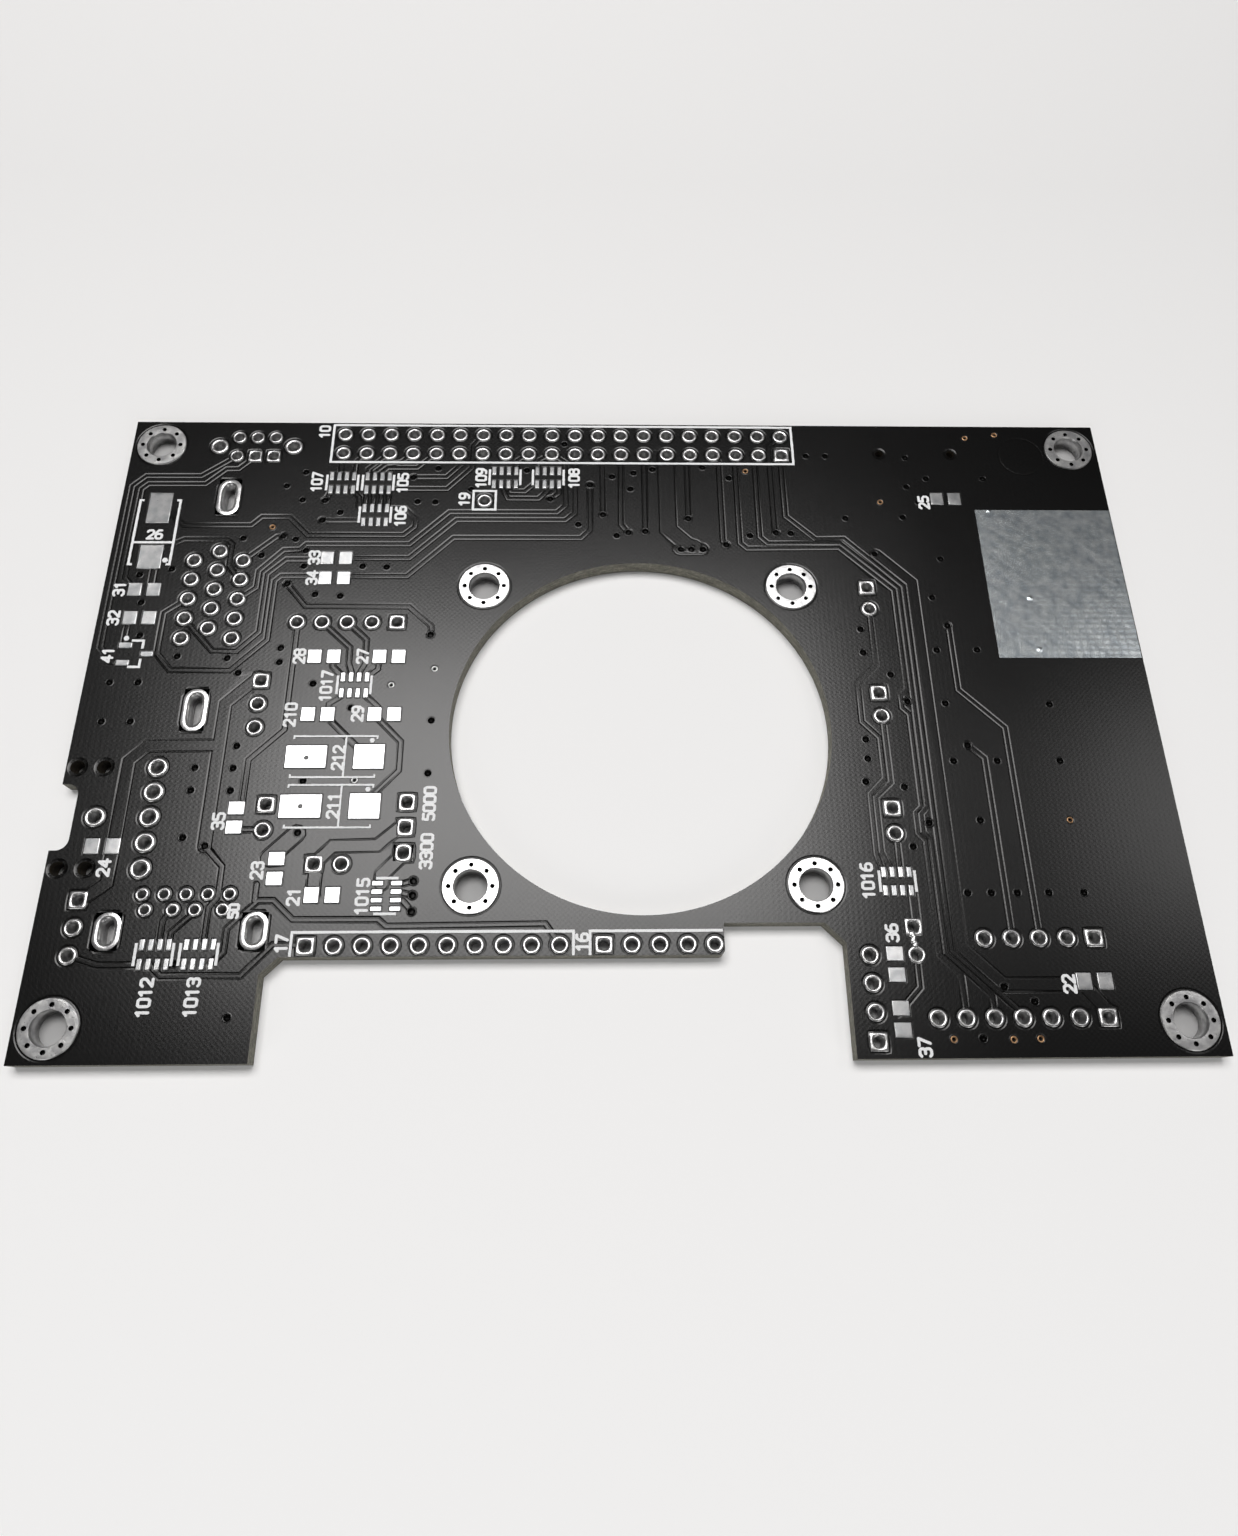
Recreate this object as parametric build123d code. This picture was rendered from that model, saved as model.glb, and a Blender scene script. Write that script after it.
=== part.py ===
# Bare input output expansion board: laminate, solderable lands and printed outlines.
# Millimetres, +Z up, underside on z = 0, origin at the middle of the outline.
from build123d import *
import os

# Layout step, which is also the pin pitch: the outline is 42 by 27 steps, less what the router takes
step = 2.54
router_loss = 0.08
board_length = 42 * step - router_loss
board_depth = 27 * step - router_loss
board_thickness = 1.6

# Skins on the upper face
tin_thickness = 0.06
ink_thickness = 0.05
ink_width = 0.25
ink_fine_width = 0.18

# Cooling fan position: screws on a square, opening kept clear of their lands
fan_from_left = 21.685 * step
fan_from_front = 12.441 * step
fan_hole_pitch = 12.598 * step
fan_hole = 3.1
fan_land = 5.2
fan_land_clearance = 1.227
fan_opening = fan_hole_pitch * 2 ** 0.5 - fan_land - 2 * fan_land_clearance

# Gap in the near edge
left_lobe_width = 8.13 * step
right_lobe_width = 13.071 * step
tongue_setback = 3.602 * step
tongue_end_from_left = 24.528 * step
fan_wall = 0.75
left_lobe_chamfer = 1.55
right_lobe_chamfer = 1.85
tongue_corner_radius = 0.5
header_from_gap = 0.97

# Recess in the left edge for a socket body
recess_from_front = 7.539 * step
recess_width = 2.579 * step
recess_depth = 1.65
recess_radius = 1.1

# Mounting holes at the corners
corner_inset = 1.22 * step
corner_hole = 3.1
corner_land = 5.2

# Plated holes: drilled size and width of the land round it
pin_hole = 1.0
pin_land = 1.65
jack_hole = 1.15
jack_land = 1.95
fine_hole = 0.7
fine_land = 1.25
round_socket_land = 1.45
peg_hole = 1.35
small_peg_hole = 0.9
hole_sides = 6
screw_land_sides = 16

# Plated slots: drilled width, and how far the land reaches round it
slot_width = 1.3
long_slot = 3.4
short_slot = 2.35
slot_land_rim = 0.58
slot_corner = 0.29

# Soldering pads, as width by depth
chip_pad_width = 1.4
chip_pad_depth = 1.55
array_pad_width = 0.48
array_pad_depth = 1.05
array_pitch = 0.315 * step
array_row_gap = 0.689 * step
array_bar_from_middle = 0.657 * step
array_bar_length = 2.05

# Bare tinned area at the right edge
bare_area_width = 5.787 * step
bare_area_depth = 7.087 * step
bare_area_from_back = 4.429 * step
bare_area_edge_gap = 0.1

top = board_thickness


left_edge = -board_length / 2
right_edge = board_length / 2
front_edge = -board_depth / 2
back_edge = board_depth / 2


# Footprints are placed by layout steps from the nearest edges
def from_left(steps):
    return left_edge + steps * step


def from_right(steps):
    return right_edge - steps * step


def from_front(steps):
    return front_edge + steps * step


def from_back(steps):
    return back_edge - steps * step


def row(x, y, count, spacing=step):
    return [(x + i * spacing, y) for i in range(count)]


def column(x, y, count, spacing=step):
    return [(x, y - i * spacing) for i in range(count)]


# Pin places of each footprint
long_header_x = from_left(9.047)
long_header_y = from_back(1.606)
long_header = row(long_header_x, long_header_y, 20) + row(long_header_x, long_header_y + step, 20)
front_row_y = front_edge + tongue_setback + header_from_gap
front_header = row(from_left(9.646), front_row_y, 10)
front_short_header = row(from_left(20.217), front_row_y, 5)
left_header = row(from_left(7.953), from_front(17.047), 5)
right_header = row(from_right(8.083), from_front(4.134), 5)
right_front_header = row(from_right(10.098), from_front(1.339), 7)

round_socket_x = from_left(5.295)
round_socket_y = from_back(0.807)
round_socket_pitch = 0.783 * step
round_socket_rows = 0.984 * step
round_socket_pins = [(round_socket_x + i * round_socket_pitch, round_socket_y) for i in (-1, 0, 1)]
round_socket_pins += [(x, y - round_socket_rows) for x, y in round_socket_pins]
round_socket_tab_reach = 1.594 * step
round_socket_tab_drop = 0.472 * step
round_socket_tab_y = round_socket_y - round_socket_tab_drop
round_socket_tabs = [(round_socket_x + side * round_socket_tab_reach, round_socket_tab_y) for side in (-1, 1)]

wide_socket_x = from_left(4.441)
wide_socket_y = from_front(18.110)
wide_socket_pitch = 0.906 * step
wide_socket_column_gap = 0.996 * step
wide_socket_pins = []
for side in (-1, 0, 1):
    first = wide_socket_y + (2 if side else 2.5) * wide_socket_pitch
    wide_socket_pins += column(wide_socket_x + side * wide_socket_column_gap, first, 5, wide_socket_pitch)
wide_socket_slot_reach = 4.941 * step

jack_pitch = 0.988 * step
jack_pins = column(from_left(3.406), from_front(10.787), 5, jack_pitch)
jack_pins += [(from_left(1.417), from_front(8.819))]
jack_pegs = [(from_left(x), from_front(y)) for x in (0.433, 1.425) for y in (10.807, 6.858)]

narrow_socket_x = from_left(5.197)
narrow_socket_y = from_front(5.886)
narrow_socket_pitch = 0.78 * step
narrow_socket_rows = 0.571 * step
narrow_socket_pins = row(narrow_socket_x - 2 * narrow_socket_pitch, narrow_socket_y, 5, narrow_socket_pitch)
narrow_socket_pins += [(narrow_socket_x + steps * step, narrow_socket_y - narrow_socket_rows)
                       for steps in (-1.378, -0.394, 0.394, 1.378)]
narrow_socket_slot_reach = 2.587 * step
narrow_socket_slot_drop = 1.339 * step

upper_three_way = column(from_left(6.831), from_front(14.429), 3)
lower_three_way = column(from_left(1.398), from_front(5.689), 3)
upright_two_way = column(from_left(7.638), from_front(9.291), 2)
level_two_way = row(from_left(9.646), from_front(6.988), 2)
jumper_pitch = 0.984 * step
jumper = column(from_left(12.874), from_front(9.370), 3, jumper_pitch)
test_point = [(from_left(15.228), from_back(4.043))]
power_pairs = [column(from_right(10.846), from_front(18.701 - i * 4.803), 2) for i in range(3)]
bridged_pair = column(from_right(10.591), from_front(4.567), 2)
four_way = column(from_right(12.264), from_front(3.563), 4)
small_pegs = [(from_right(9.626), from_back(1.504)), (from_right(6.496), from_back(1.504))]

corners = [(x, y) for x in (left_edge + corner_inset, right_edge - corner_inset)
           for y in (front_edge + corner_inset, back_edge - corner_inset)]
fan_x = left_edge + fan_from_left
fan_y = front_edge + fan_from_front
fan_holes = [(fan_x + i * fan_hole_pitch / 2, fan_y + j * fan_hole_pitch / 2)
             for i in (-1, 1) for j in (-1, 1)]

# Each slot: middle and drilled length, long from front to back
slots = [(wide_socket_x, wide_socket_y + side * wide_socket_slot_reach, long_slot) for side in (-1, 1)]
narrow_slot_y = narrow_socket_y - narrow_socket_slot_drop
slots += [(narrow_socket_x + side * narrow_socket_slot_reach, narrow_slot_y, short_slot) for side in (-1, 1)]

# Round lands and square lands: the square one marks the first pin
plated = {
    "long_header_lands": (long_header, [19], pin_hole, pin_land),
    "front_header_lands": (front_header, [0], pin_hole, pin_land),
    "front_short_header_lands": (front_short_header, [0], pin_hole, pin_land),
    "left_header_lands": (left_header, [4], pin_hole, pin_land),
    "right_header_lands": (right_header, [4], pin_hole, pin_land),
    "right_front_header_lands": (right_front_header, [6], pin_hole, pin_land),
    "round_socket_lands": (round_socket_pins, [4, 5], pin_hole, round_socket_land),
    "round_socket_tab_lands": (round_socket_tabs, [], jack_hole, jack_land),
    "fifteen_pin_socket_lands": (wide_socket_pins, [], pin_hole, pin_land),
    "jack_lands": (jack_pins, [], jack_hole, jack_land),
    "nine_pin_socket_lands": (narrow_socket_pins, [], fine_hole, fine_land),
    "three_way_lands": (upper_three_way + lower_three_way, [0, 3], pin_hole, pin_land),
    "two_way_lands": (upright_two_way + level_two_way, [0, 2], pin_hole, pin_land),
    "jumper_lands": (jumper, [0, 1], pin_hole, pin_land),
    "test_point_land": (test_point, [], pin_hole, pin_land),
    "power_pair_lands": (sum(power_pairs, []), [0, 2, 4], pin_hole, pin_land),
    "bridged_pair_lands": (bridged_pair, [0], pin_hole, pin_land),
    "four_way_lands": (four_way, [3], pin_hole, pin_land),
}


def drill(size, sides=hole_sides):
    return RegularPolygon(size / 2, sides, major_radius=False)


def stadium(width, length):
    return chamfer(Rectangle(width, length).vertices(), width * slot_corner)


def outline():
    left_inner = left_edge + left_lobe_width
    right_inner = right_edge - right_lobe_width
    tongue_y = front_edge + tongue_setback
    step_y = fan_y - fan_opening / 2 - fan_wall
    tongue_end = left_edge + tongue_end_from_left
    below = from_front(-1)
    gap = make_face(Polyline(
        (left_inner, below),
        (left_inner, tongue_y - left_lobe_chamfer),
        (left_inner + left_lobe_chamfer, tongue_y),
        (tongue_end, tongue_y),
        (tongue_end, step_y),
        (right_inner - right_lobe_chamfer, step_y),
        (right_inner, step_y - right_lobe_chamfer),
        (right_inner, below),
        close=True,
    ))
    recess = RectangleRounded(2 * recess_depth, recess_width, recess_radius)
    recess = Pos(left_edge, front_edge + recess_from_front + recess_width / 2) * recess
    plan = Rectangle(board_length, board_depth) - gap - recess
    tongue_corner = plan.vertices().sort_by_distance((tongue_end, tongue_y))[0]
    return fillet(tongue_corner, tongue_corner_radius)


def make_board():
    cuts = [Pos(fan_x, fan_y) * Circle(fan_opening / 2)]
    cuts += [Pos(x, y) * Circle(corner_hole / 2) for x, y in corners]
    cuts += [Pos(x, y) * Circle(fan_hole / 2) for x, y in fan_holes]
    cuts += [Pos(x, y) * stadium(slot_width, length) for x, y, length in slots]
    cuts += [Pos(x, y) * drill(peg_hole) for x, y in jack_pegs]
    cuts += [Pos(x, y) * drill(small_peg_hole) for x, y in small_pegs]
    for places, _, hole, _ in plated.values():
        cuts += [Pos(x, y) * drill(hole) for x, y in places]
    return extrude(outline() - cuts, amount=board_thickness)


def plate(shape, thickness=tin_thickness):
    return Pos(0, 0, top) * extrude(shape, amount=thickness)


def make_lands(places, square, hole, land):
    rings = []
    for i, (x, y) in enumerate(places):
        pad = Rectangle(land, land) if i in square else drill(land)
        rings.append(plate(Pos(x, y) * (pad - drill(hole))))
    return Compound(children=rings)


def make_screw_lands(places, hole, land):
    ring = plate(drill(land, screw_land_sides) - drill(hole, screw_land_sides))
    return Compound(children=[Pos(x, y) * ring for x, y in places])


def make_slot_lands():
    lands = []
    for x, y, length in slots:
        rim = stadium(slot_width + 2 * slot_land_rim, length + 2 * slot_land_rim)
        lands.append(plate(Pos(x, y) * (rim - stadium(slot_width, length))))
    return Compound(children=lands)


# The last jumper land is square behind and round in front
def make_jumper_lands():
    x, y = jumper[-1]
    lands = [make_lands(jumper[:-1], [0, 1], pin_hole, pin_land)]
    tongue = drill(pin_land) + Pos(0, pin_land / 4) * Rectangle(pin_land, pin_land / 2)
    lands.append(plate(Pos(x, y) * (tongue - drill(pin_hole))))
    return Compound(children=[solid for land in lands for solid in land.solids()])


# Solder has run across this pair and left a ragged neck
def make_bridged_lands():
    x, y = bridged_pair[0]
    neck_width = 0.8
    neck_offset = -0.25
    square = Pos(x, y) * Rectangle(pin_land, pin_land)
    ring = Pos(x, y - step) * drill(pin_land)
    neck = Pos(x + neck_offset, y - step / 2) * Rectangle(neck_width, step)
    drills = [Pos(x, y - i * step) * drill(pin_hole) for i in range(2)]
    return plate((square + ring + neck) - drills)


# The last land of this row is cut off by the edge of the gap
def make_front_short_lands():
    whole = make_lands(*plated["front_short_header_lands"])
    upper_face = plate(outline())
    return Compound(children=[solid for land in whole.solids() for solid in (land & upper_face).solids()])


odd_lands = {
    "jumper_lands": make_jumper_lands,
    "bridged_pair_lands": make_bridged_lands,
    "front_short_header_lands": make_front_short_lands,
}


def pads(places, width, depth):
    return [plate(Pos(x, y) * Rectangle(width, depth)) for x, y in places]


# Two-pad chips: middle of the footprint and distance between the pads
level_chip_gap = 0.756 * step
upright_chip_gap = 0.748 * step
level_resistors = [(from_left(1.646), from_front(18.535)), (from_left(1.673), from_front(17.224)),
                   (from_left(9.252), from_front(20.059)), (from_left(9.252), from_front(19.094))]
upright_resistors = [(from_left(6.575), from_front(8.780)), (from_right(11.378), from_front(3.236)),
                     (from_right(11.378), from_front(1.327))]
level_capacitors = [(from_left(9.193), from_front(15.492)), (from_left(11.752), from_front(15.492)),
                    (from_left(9.193), from_front(12.980)), (from_left(11.752), from_front(12.980)),
                    (from_left(1.902), from_front(7.697)), (from_left(10.059), from_front(5.827)),
                    (from_right(4.362), from_front(2.598)), (from_right(7.008), from_back(3.858))]
upright_capacitors = [(from_left(8.287), from_front(6.823))]


def chip_pads(level, upright):
    pairs = []
    for x, y in level:
        ends = [(x + side * level_chip_gap / 2, y) for side in (-1, 1)]
        pairs += pads(ends, chip_pad_width, chip_pad_depth)
    for x, y in upright:
        ends = [(x, y + side * upright_chip_gap / 2) for side in (-1, 1)]
        pairs += pads(ends, chip_pad_depth, chip_pad_width - 0.05)
    return Compound(children=pairs)


# Large capacitors: two in line behind the fan header, one upright at the left edge
large_x = from_left(10.118)
large_rows = [from_front(11.209), from_front(9.220)]
large_left_pad = (4.0, 2.4)
large_right_pad = (3.0, 2.6)
large_pad_gap = 2.382 * step
left_large_pad_gap = 2.402 * step
left_large_x = from_left(1.646)
left_large_y = from_front(21.280)


def make_large_pads():
    solids = []
    for y in large_rows:
        solids += pads([(large_x - large_pad_gap / 2, y)], *large_left_pad)
        solids += pads([(large_x + large_pad_gap / 2, y)], *large_right_pad)
    solids += pads([(left_large_x, left_large_y + left_large_pad_gap / 2)], 2.45, 3.85)
    solids += pads([(left_large_x, left_large_y - left_large_pad_gap / 2)], 2.45, 2.9)
    return Compound(children=solids)


transistor_x = from_left(1.331)
transistor_y = from_front(15.591)


def make_transistor_pads():
    left_ends = [(transistor_x, transistor_y + side * 0.386 * step) for side in (-1, 1)]
    right_end = pads([(transistor_x + 0.894 * step, transistor_y)], 1.25, 0.6)
    return Compound(children=pads(left_ends, 1.35, 0.65) + right_end)


# Resistor arrays: four pads on each side; the last is turned a quarter
arrays = [(from_left(9.154), from_back(3.169), 0), (from_left(10.669), from_back(3.169), 0),
          (from_left(10.669), from_back(4.795), 0), (from_left(16.063), from_back(2.854), 0),
          (from_left(17.913), from_back(2.854), 0), (from_left(10.492), from_front(14.232), 0),
          (from_left(4.409), from_front(3.720), 0), (from_left(5.965), from_front(3.720), 0),
          (from_right(10.984), from_front(6.260), 0), (from_left(12.374), from_front(5.787), 90)]


def make_array_pads():
    pad = plate(Rectangle(array_pad_width, array_pad_depth))
    spots = [((i - 1.5) * array_pitch, side * array_row_gap / 2) for i in range(4) for side in (-1, 1)]
    return Compound(children=[
        Pos(x, y) * Rot(0, 0, turn) * Pos(*spot) * pad for x, y, turn in arrays for spot in spots
    ])


def make_bare_area():
    x = right_edge - bare_area_edge_gap - bare_area_width / 2
    y = back_edge - bare_area_from_back - bare_area_depth / 2
    return plate(Pos(x, y) * Rectangle(bare_area_width, bare_area_depth))


# Printed outlines
def ink(shape):
    return plate(shape, ink_thickness)


def ink_line(points, width=ink_width):
    bars = []
    for (x1, y1), (x2, y2) in zip(points, points[1:]):
        length = abs(x2 - x1) + abs(y2 - y1) + width
        size = (length, width) if y1 == y2 else (width, length)
        bars.append(Pos((x1 + x2) / 2, (y1 + y2) / 2) * Rectangle(*size))
    return Sketch() + bars


def frame(left, bottom, right, upper):
    return ink_line([(left, bottom), (right, bottom), (right, upper), (left, upper), (left, bottom)])


header_frame_reach = 1.25


def make_long_header_outline():
    left, right = long_header[0][0], long_header[19][0]
    return ink(frame(left - header_frame_reach, long_header_y - header_frame_reach,
                     right + header_frame_reach, long_header_y + step + header_frame_reach - 0.05))


def make_front_header_outlines():
    near = front_edge + tongue_setback + 0.15
    far = front_header[0][1] + header_frame_reach
    left, right = front_header[0][0] - header_frame_reach, front_header[-1][0] + header_frame_reach
    long_frame = ink(ink_line([(left, near), (left, far), (right, far), (right, near)]))
    left = front_short_header[0][0] - header_frame_reach
    right = left_edge + tongue_end_from_left - 0.25
    short_frame = ink(ink_line([(left, near), (left, far), (right, far)]))
    return Compound(children=[long_frame, short_frame])


def make_test_point_outline():
    x, y = test_point[0]
    return ink(frame(x - 1.2, y - 1.2, x + 1.2, y + 1.2))


def make_array_outlines():
    bar = ink(Rectangle(ink_width, array_bar_length))
    return Compound(children=[
        Pos(x, y) * Rot(0, 0, turn) * Pos(side * array_bar_from_middle, 0) * bar
        for x, y, turn in arrays for side in (-1, 1)
    ])


def make_capacitor_outlines():
    reach, half, hook, divider = 4.02, 2.13, 0.2, -1.02
    marks = []
    for y in large_rows:
        x = large_x - 0.3
        lines = [ink_line([(x - reach, y + side * (half - hook)), (x - reach, y + side * half),
                           (x + reach, y + side * half), (x + reach, y + side * (half - hook))],
                          ink_fine_width) for side in (-1, 1)]
        lines.append(ink_line([(x - divider, y - half), (x - divider, y + half)], ink_fine_width))
        marks.append(ink(Sketch() + lines))
        marks.append(ink(Pos(large_x + large_pad_gap / 2 + 0.2, y + 1.68) * drill(0.45)))
    reach, half, hook, divider = 2.12, 3.99, 0.25, -1.3
    x, y = left_large_x, left_large_y
    lines = [ink_line([(x + side * (reach - hook), y - half), (x + side * reach, y - half),
                       (x + side * reach, y + half), (x + side * (reach - hook), y + half)])
             for side in (-1, 1)]
    lines.append(ink_line([(x - reach, y + divider), (x + reach, y + divider)]))
    marks.append(ink(Sketch() + lines))
    marks.append(ink(Pos(x + 1.6, y - half + 0.5) * drill(0.55)))
    return Compound(children=marks)


def make_transistor_outline():
    x, y = transistor_x + 1.77, transistor_y
    brackets = [ink(ink_line([(x - 1.05, y + side * 1.48), (x, y + side * 1.48), (x, y + side * 0.68)]))
                for side in (-1, 1)]
    return Compound(children=brackets + [ink(Pos(transistor_x, y + 1.75) * drill(0.5))])


def build_all():
    shapes = {"board": make_board()}
    shapes["corner_hole_lands"] = make_screw_lands(corners, corner_hole, corner_land)
    shapes["fan_hole_lands"] = make_screw_lands(fan_holes, fan_hole, fan_land)
    shapes["slot_lands"] = make_slot_lands()
    for name, footprint in plated.items():
        shapes[name] = odd_lands[name]() if name in odd_lands else make_lands(*footprint)
    shapes["chip_resistor_pads"] = chip_pads(level_resistors, upright_resistors)
    shapes["chip_capacitor_pads"] = chip_pads(level_capacitors, upright_capacitors)
    shapes["large_capacitor_pads"] = make_large_pads()
    shapes["transistor_pads"] = make_transistor_pads()
    shapes["resistor_array_pads"] = make_array_pads()
    shapes["bare_tinned_area"] = make_bare_area()
    shapes["long_header_outline"] = make_long_header_outline()
    shapes["front_header_outlines"] = make_front_header_outlines()
    shapes["test_point_outline"] = make_test_point_outline()
    shapes["resistor_array_outlines"] = make_array_outlines()
    shapes["capacitor_outlines"] = make_capacitor_outlines()
    shapes["transistor_outline"] = make_transistor_outline()
    return shapes


os.makedirs("parts", exist_ok=True)
for name, shape in build_all().items():
    export_step(shape, f"parts/{name}.step")
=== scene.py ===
import bpy
import bmesh
import math
import numpy as np
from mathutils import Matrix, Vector
from mathutils.geometry import delaunay_2d_cdt


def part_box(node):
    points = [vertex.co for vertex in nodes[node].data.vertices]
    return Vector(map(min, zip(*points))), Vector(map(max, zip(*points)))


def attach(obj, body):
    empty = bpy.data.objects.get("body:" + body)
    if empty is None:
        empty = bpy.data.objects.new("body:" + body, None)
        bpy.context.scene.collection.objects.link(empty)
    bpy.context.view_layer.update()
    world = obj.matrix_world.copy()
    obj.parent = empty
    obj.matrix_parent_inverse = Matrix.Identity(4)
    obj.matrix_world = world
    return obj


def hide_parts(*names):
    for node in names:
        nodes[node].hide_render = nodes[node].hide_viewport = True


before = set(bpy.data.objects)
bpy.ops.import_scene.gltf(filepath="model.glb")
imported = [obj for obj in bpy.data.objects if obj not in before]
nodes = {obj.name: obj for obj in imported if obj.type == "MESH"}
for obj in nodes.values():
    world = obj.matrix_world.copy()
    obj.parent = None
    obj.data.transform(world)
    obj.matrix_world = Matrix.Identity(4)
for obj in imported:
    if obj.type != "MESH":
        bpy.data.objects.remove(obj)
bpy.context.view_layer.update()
print("frame loaded:", len(nodes), "pieces")

# All drawing below is in millimetres; meshes are written in metres
mm = 0.001
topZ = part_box("board")[1][2] / mm
underZ = 0.045


def newObject(name, verts, faces, material):
    mesh = bpy.data.meshes.new(name)
    mesh.from_pydata([(x * mm, y * mm, z * mm) for x, y, z in verts], [], faces)
    mesh.validate()
    mesh.materials.append(material)
    thing = bpy.data.objects.new(name, mesh)
    bpy.context.collection.objects.link(thing)
    return thing


def addMesh(name, verts, faces, material, smooth=False, stand=()):
    piece = newObject(name, verts, faces, material)
    if smooth:
        piece.data.shade_smooth()
    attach(piece, "root")
    if stand:
        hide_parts(*stand)
    return piece


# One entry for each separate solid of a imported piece: middle, plan size, hole size
def islands(nodeName):
    mesh = nodes[nodeName].data
    parent = {}

    def find(k):
        while parent[k] != k:
            parent[k] = parent[parent[k]]
            k = parent[k]
        return k

    keys = [tuple(round(c / mm, 3) for c in v.co) for v in mesh.vertices]
    for k in keys:
        parent.setdefault(k, k)
    for poly in mesh.polygons:
        first = find(keys[poly.vertices[0]])
        for i in poly.vertices[1:]:
            parent[find(keys[i])] = first
    groups = {}
    for k in parent:
        groups.setdefault(find(k), []).append(k)
    found = []
    for points in groups.values():
        p = np.array(points)
        lo, hi = p.min(0), p.max(0)
        cx, cy = (lo[:2] + hi[:2]) / 2
        near = np.hypot(p[:, 0] - cx, p[:, 1] - cy).min()
        found.append(dict(x=cx, y=cy, w=hi[0] - lo[0], d=hi[1] - lo[1], hole=2 * near))
    return sorted(found, key=lambda q: (round(-q["y"], 1), q["x"]))


# Round lands are packed with few sides, so they come out wider than deep
def isRound(q):
    return q["w"] > q["d"] + 0.05


def allOf(groups):
    return [q for group in groups.values() for q in group]


def halves(group, less=0.0):
    return [(q["x"], q["y"], q["w"] / 2 - less, q["d"] / 2 - less) for q in group]


def roundOnes(group, less=0.0):
    return [(q["x"], q["y"], q["d"] / 2 - less) for q in group]


def circle(x, y, r, sides=20, turn=0.0):
    return [(x + r * math.cos(turn + 2 * math.pi * i / sides), y + r * math.sin(turn + 2 * math.pi * i / sides))
            for i in range(sides)]


def rectangle(x, y, w, d):
    return [(x - w, y - d), (x + w, y - d), (x + w, y + d), (x - w, y + d)]


# A rounded rectangle with its points at even angles, so that it can be joined to circles
def softRect(x, y, w, d, corner, sides=32):
    loop = []
    for i in range(sides):
        a = 2 * math.pi * i / sides
        c, s = math.cos(a), math.sin(a)
        t = min(w / 2 / max(abs(c), 1e-9), d / 2 / max(abs(s), 1e-9))
        px, py = t * c, t * s
        ix, iy = w / 2 - corner, d / 2 - corner
        if abs(px) > ix and abs(py) > iy:
            kx, ky = math.copysign(ix, px), math.copysign(iy, py)
            dx, dy = px - kx, py - ky
            n = math.hypot(dx, dy)
            px, py = kx + dx / n * corner, ky + dy / n * corner
        loop.append((x + px, y + py))
    return loop


# A rectangle whose corners are cut by small arcs, three points to a corner
def crispRect(x, y, w, d, corner):
    loop = []
    for k, (sx, sy) in enumerate(((1, 1), (-1, 1), (-1, -1), (1, -1))):
        for j in range(3):
            a = math.pi / 2 * k + math.pi / 4 * j
            loop.append((x + sx * (w / 2 - corner) + corner * math.cos(a),
                         y + sy * (d / 2 - corner) + corner * math.sin(a)))
    return loop


def oval(x, y, w, d, sides=32):
    return softRect(x, y, w, d, w / 2 - 1e-4, sides)


# Joins loops of equal length into a skin, and closes the last one with a point at the tip's height
def skin(verts, faces, loops, heights, tip=None):
    base = len(verts)
    n = len(loops[0])
    for loop, z in zip(loops, heights):
        verts += [(px, py, pz) for (px, py), pz in zip(loop, z if isinstance(z, list) else [z] * n)]
    for k in range(len(loops) - 1):
        for i in range(n):
            j = (i + 1) % n
            a = base + k * n
            faces.append((a + i, a + j, a + n + j, a + n + i))
    if tip is not None:
        a = base + (len(loops) - 1) * n
        verts.append((sum(p[0] for p in loops[-1]) / n, sum(p[1] for p in loops[-1]) / n, tip))
        c = len(verts) - 1
        faces += [(a + i, a + (i + 1) % n, c) for i in range(n)]


# A smooth wander between -1 and 1, the same at every run
def noiseAt(x, y, seed=0.0):
    return math.sin(1.7 * x + 2.3 * y + seed) * 0.5 + math.sin(3.1 * x - 1.3 * y + 2.1 * seed) * 0.3 \
        + math.sin(5.3 * x + 4.1 * y + 0.7 * seed) * 0.2


def newMaterial(name):
    material = bpy.data.materials.new(name)
    material.use_nodes = True
    tree = material.node_tree
    shader = tree.nodes["Principled BSDF"]
    return material, tree, shader


# A node's inputs take a plain value or what another node gives out
def feed(tree, node, values):
    for name, value in values.items():
        if isinstance(value, bpy.types.NodeSocket):
            tree.links.new(value, node.inputs[name])
        elif value is not None:
            node.inputs[name].default_value = value


def newNode(tree, kind, values):
    node = tree.nodes.new("ShaderNode" + kind)
    feed(tree, node, values)
    return node


# Places in millimetres, so that every texture size below is in millimetres too
def coordinates(tree, scale=(1000, 1000, 1000)):
    where = tree.nodes.new("ShaderNodeNewGeometry").outputs["Position"]
    return newNode(tree, "Mapping", {"Vector": where, "Scale": scale}).outputs["Vector"]


def noise(tree, vector, scale, detail=3.0, roughness=0.5):
    values = {"Vector": vector, "Scale": scale, "Detail": detail, "Roughness": roughness}
    return newNode(tree, "TexNoise", values).outputs["Fac"]


def ramp(tree, value, stops):
    node = tree.nodes.new("ShaderNodeValToRGB")
    band = node.color_ramp
    while len(band.elements) < len(stops):
        band.elements.new(0.5)
    for element, (at, colour) in zip(band.elements, stops):
        element.position = at
        element.color = (*colour, 1)
    tree.links.new(value, node.inputs["Fac"])
    return node.outputs["Color"]


def maths(tree, operation, a, b):
    node = newNode(tree, "Math", {0: a, 1: b})
    node.operation = operation
    return node.outputs[0]


def clamped(tree, value, top):
    return maths(tree, "MINIMUM", maths(tree, "MAXIMUM", value, 0.0), top)


def bump(tree, height, strength, distance, below=None):
    values = {"Height": height, "Strength": strength, "Distance": distance, "Normal": below}
    return newNode(tree, "Bump", values).outputs["Normal"]


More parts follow.
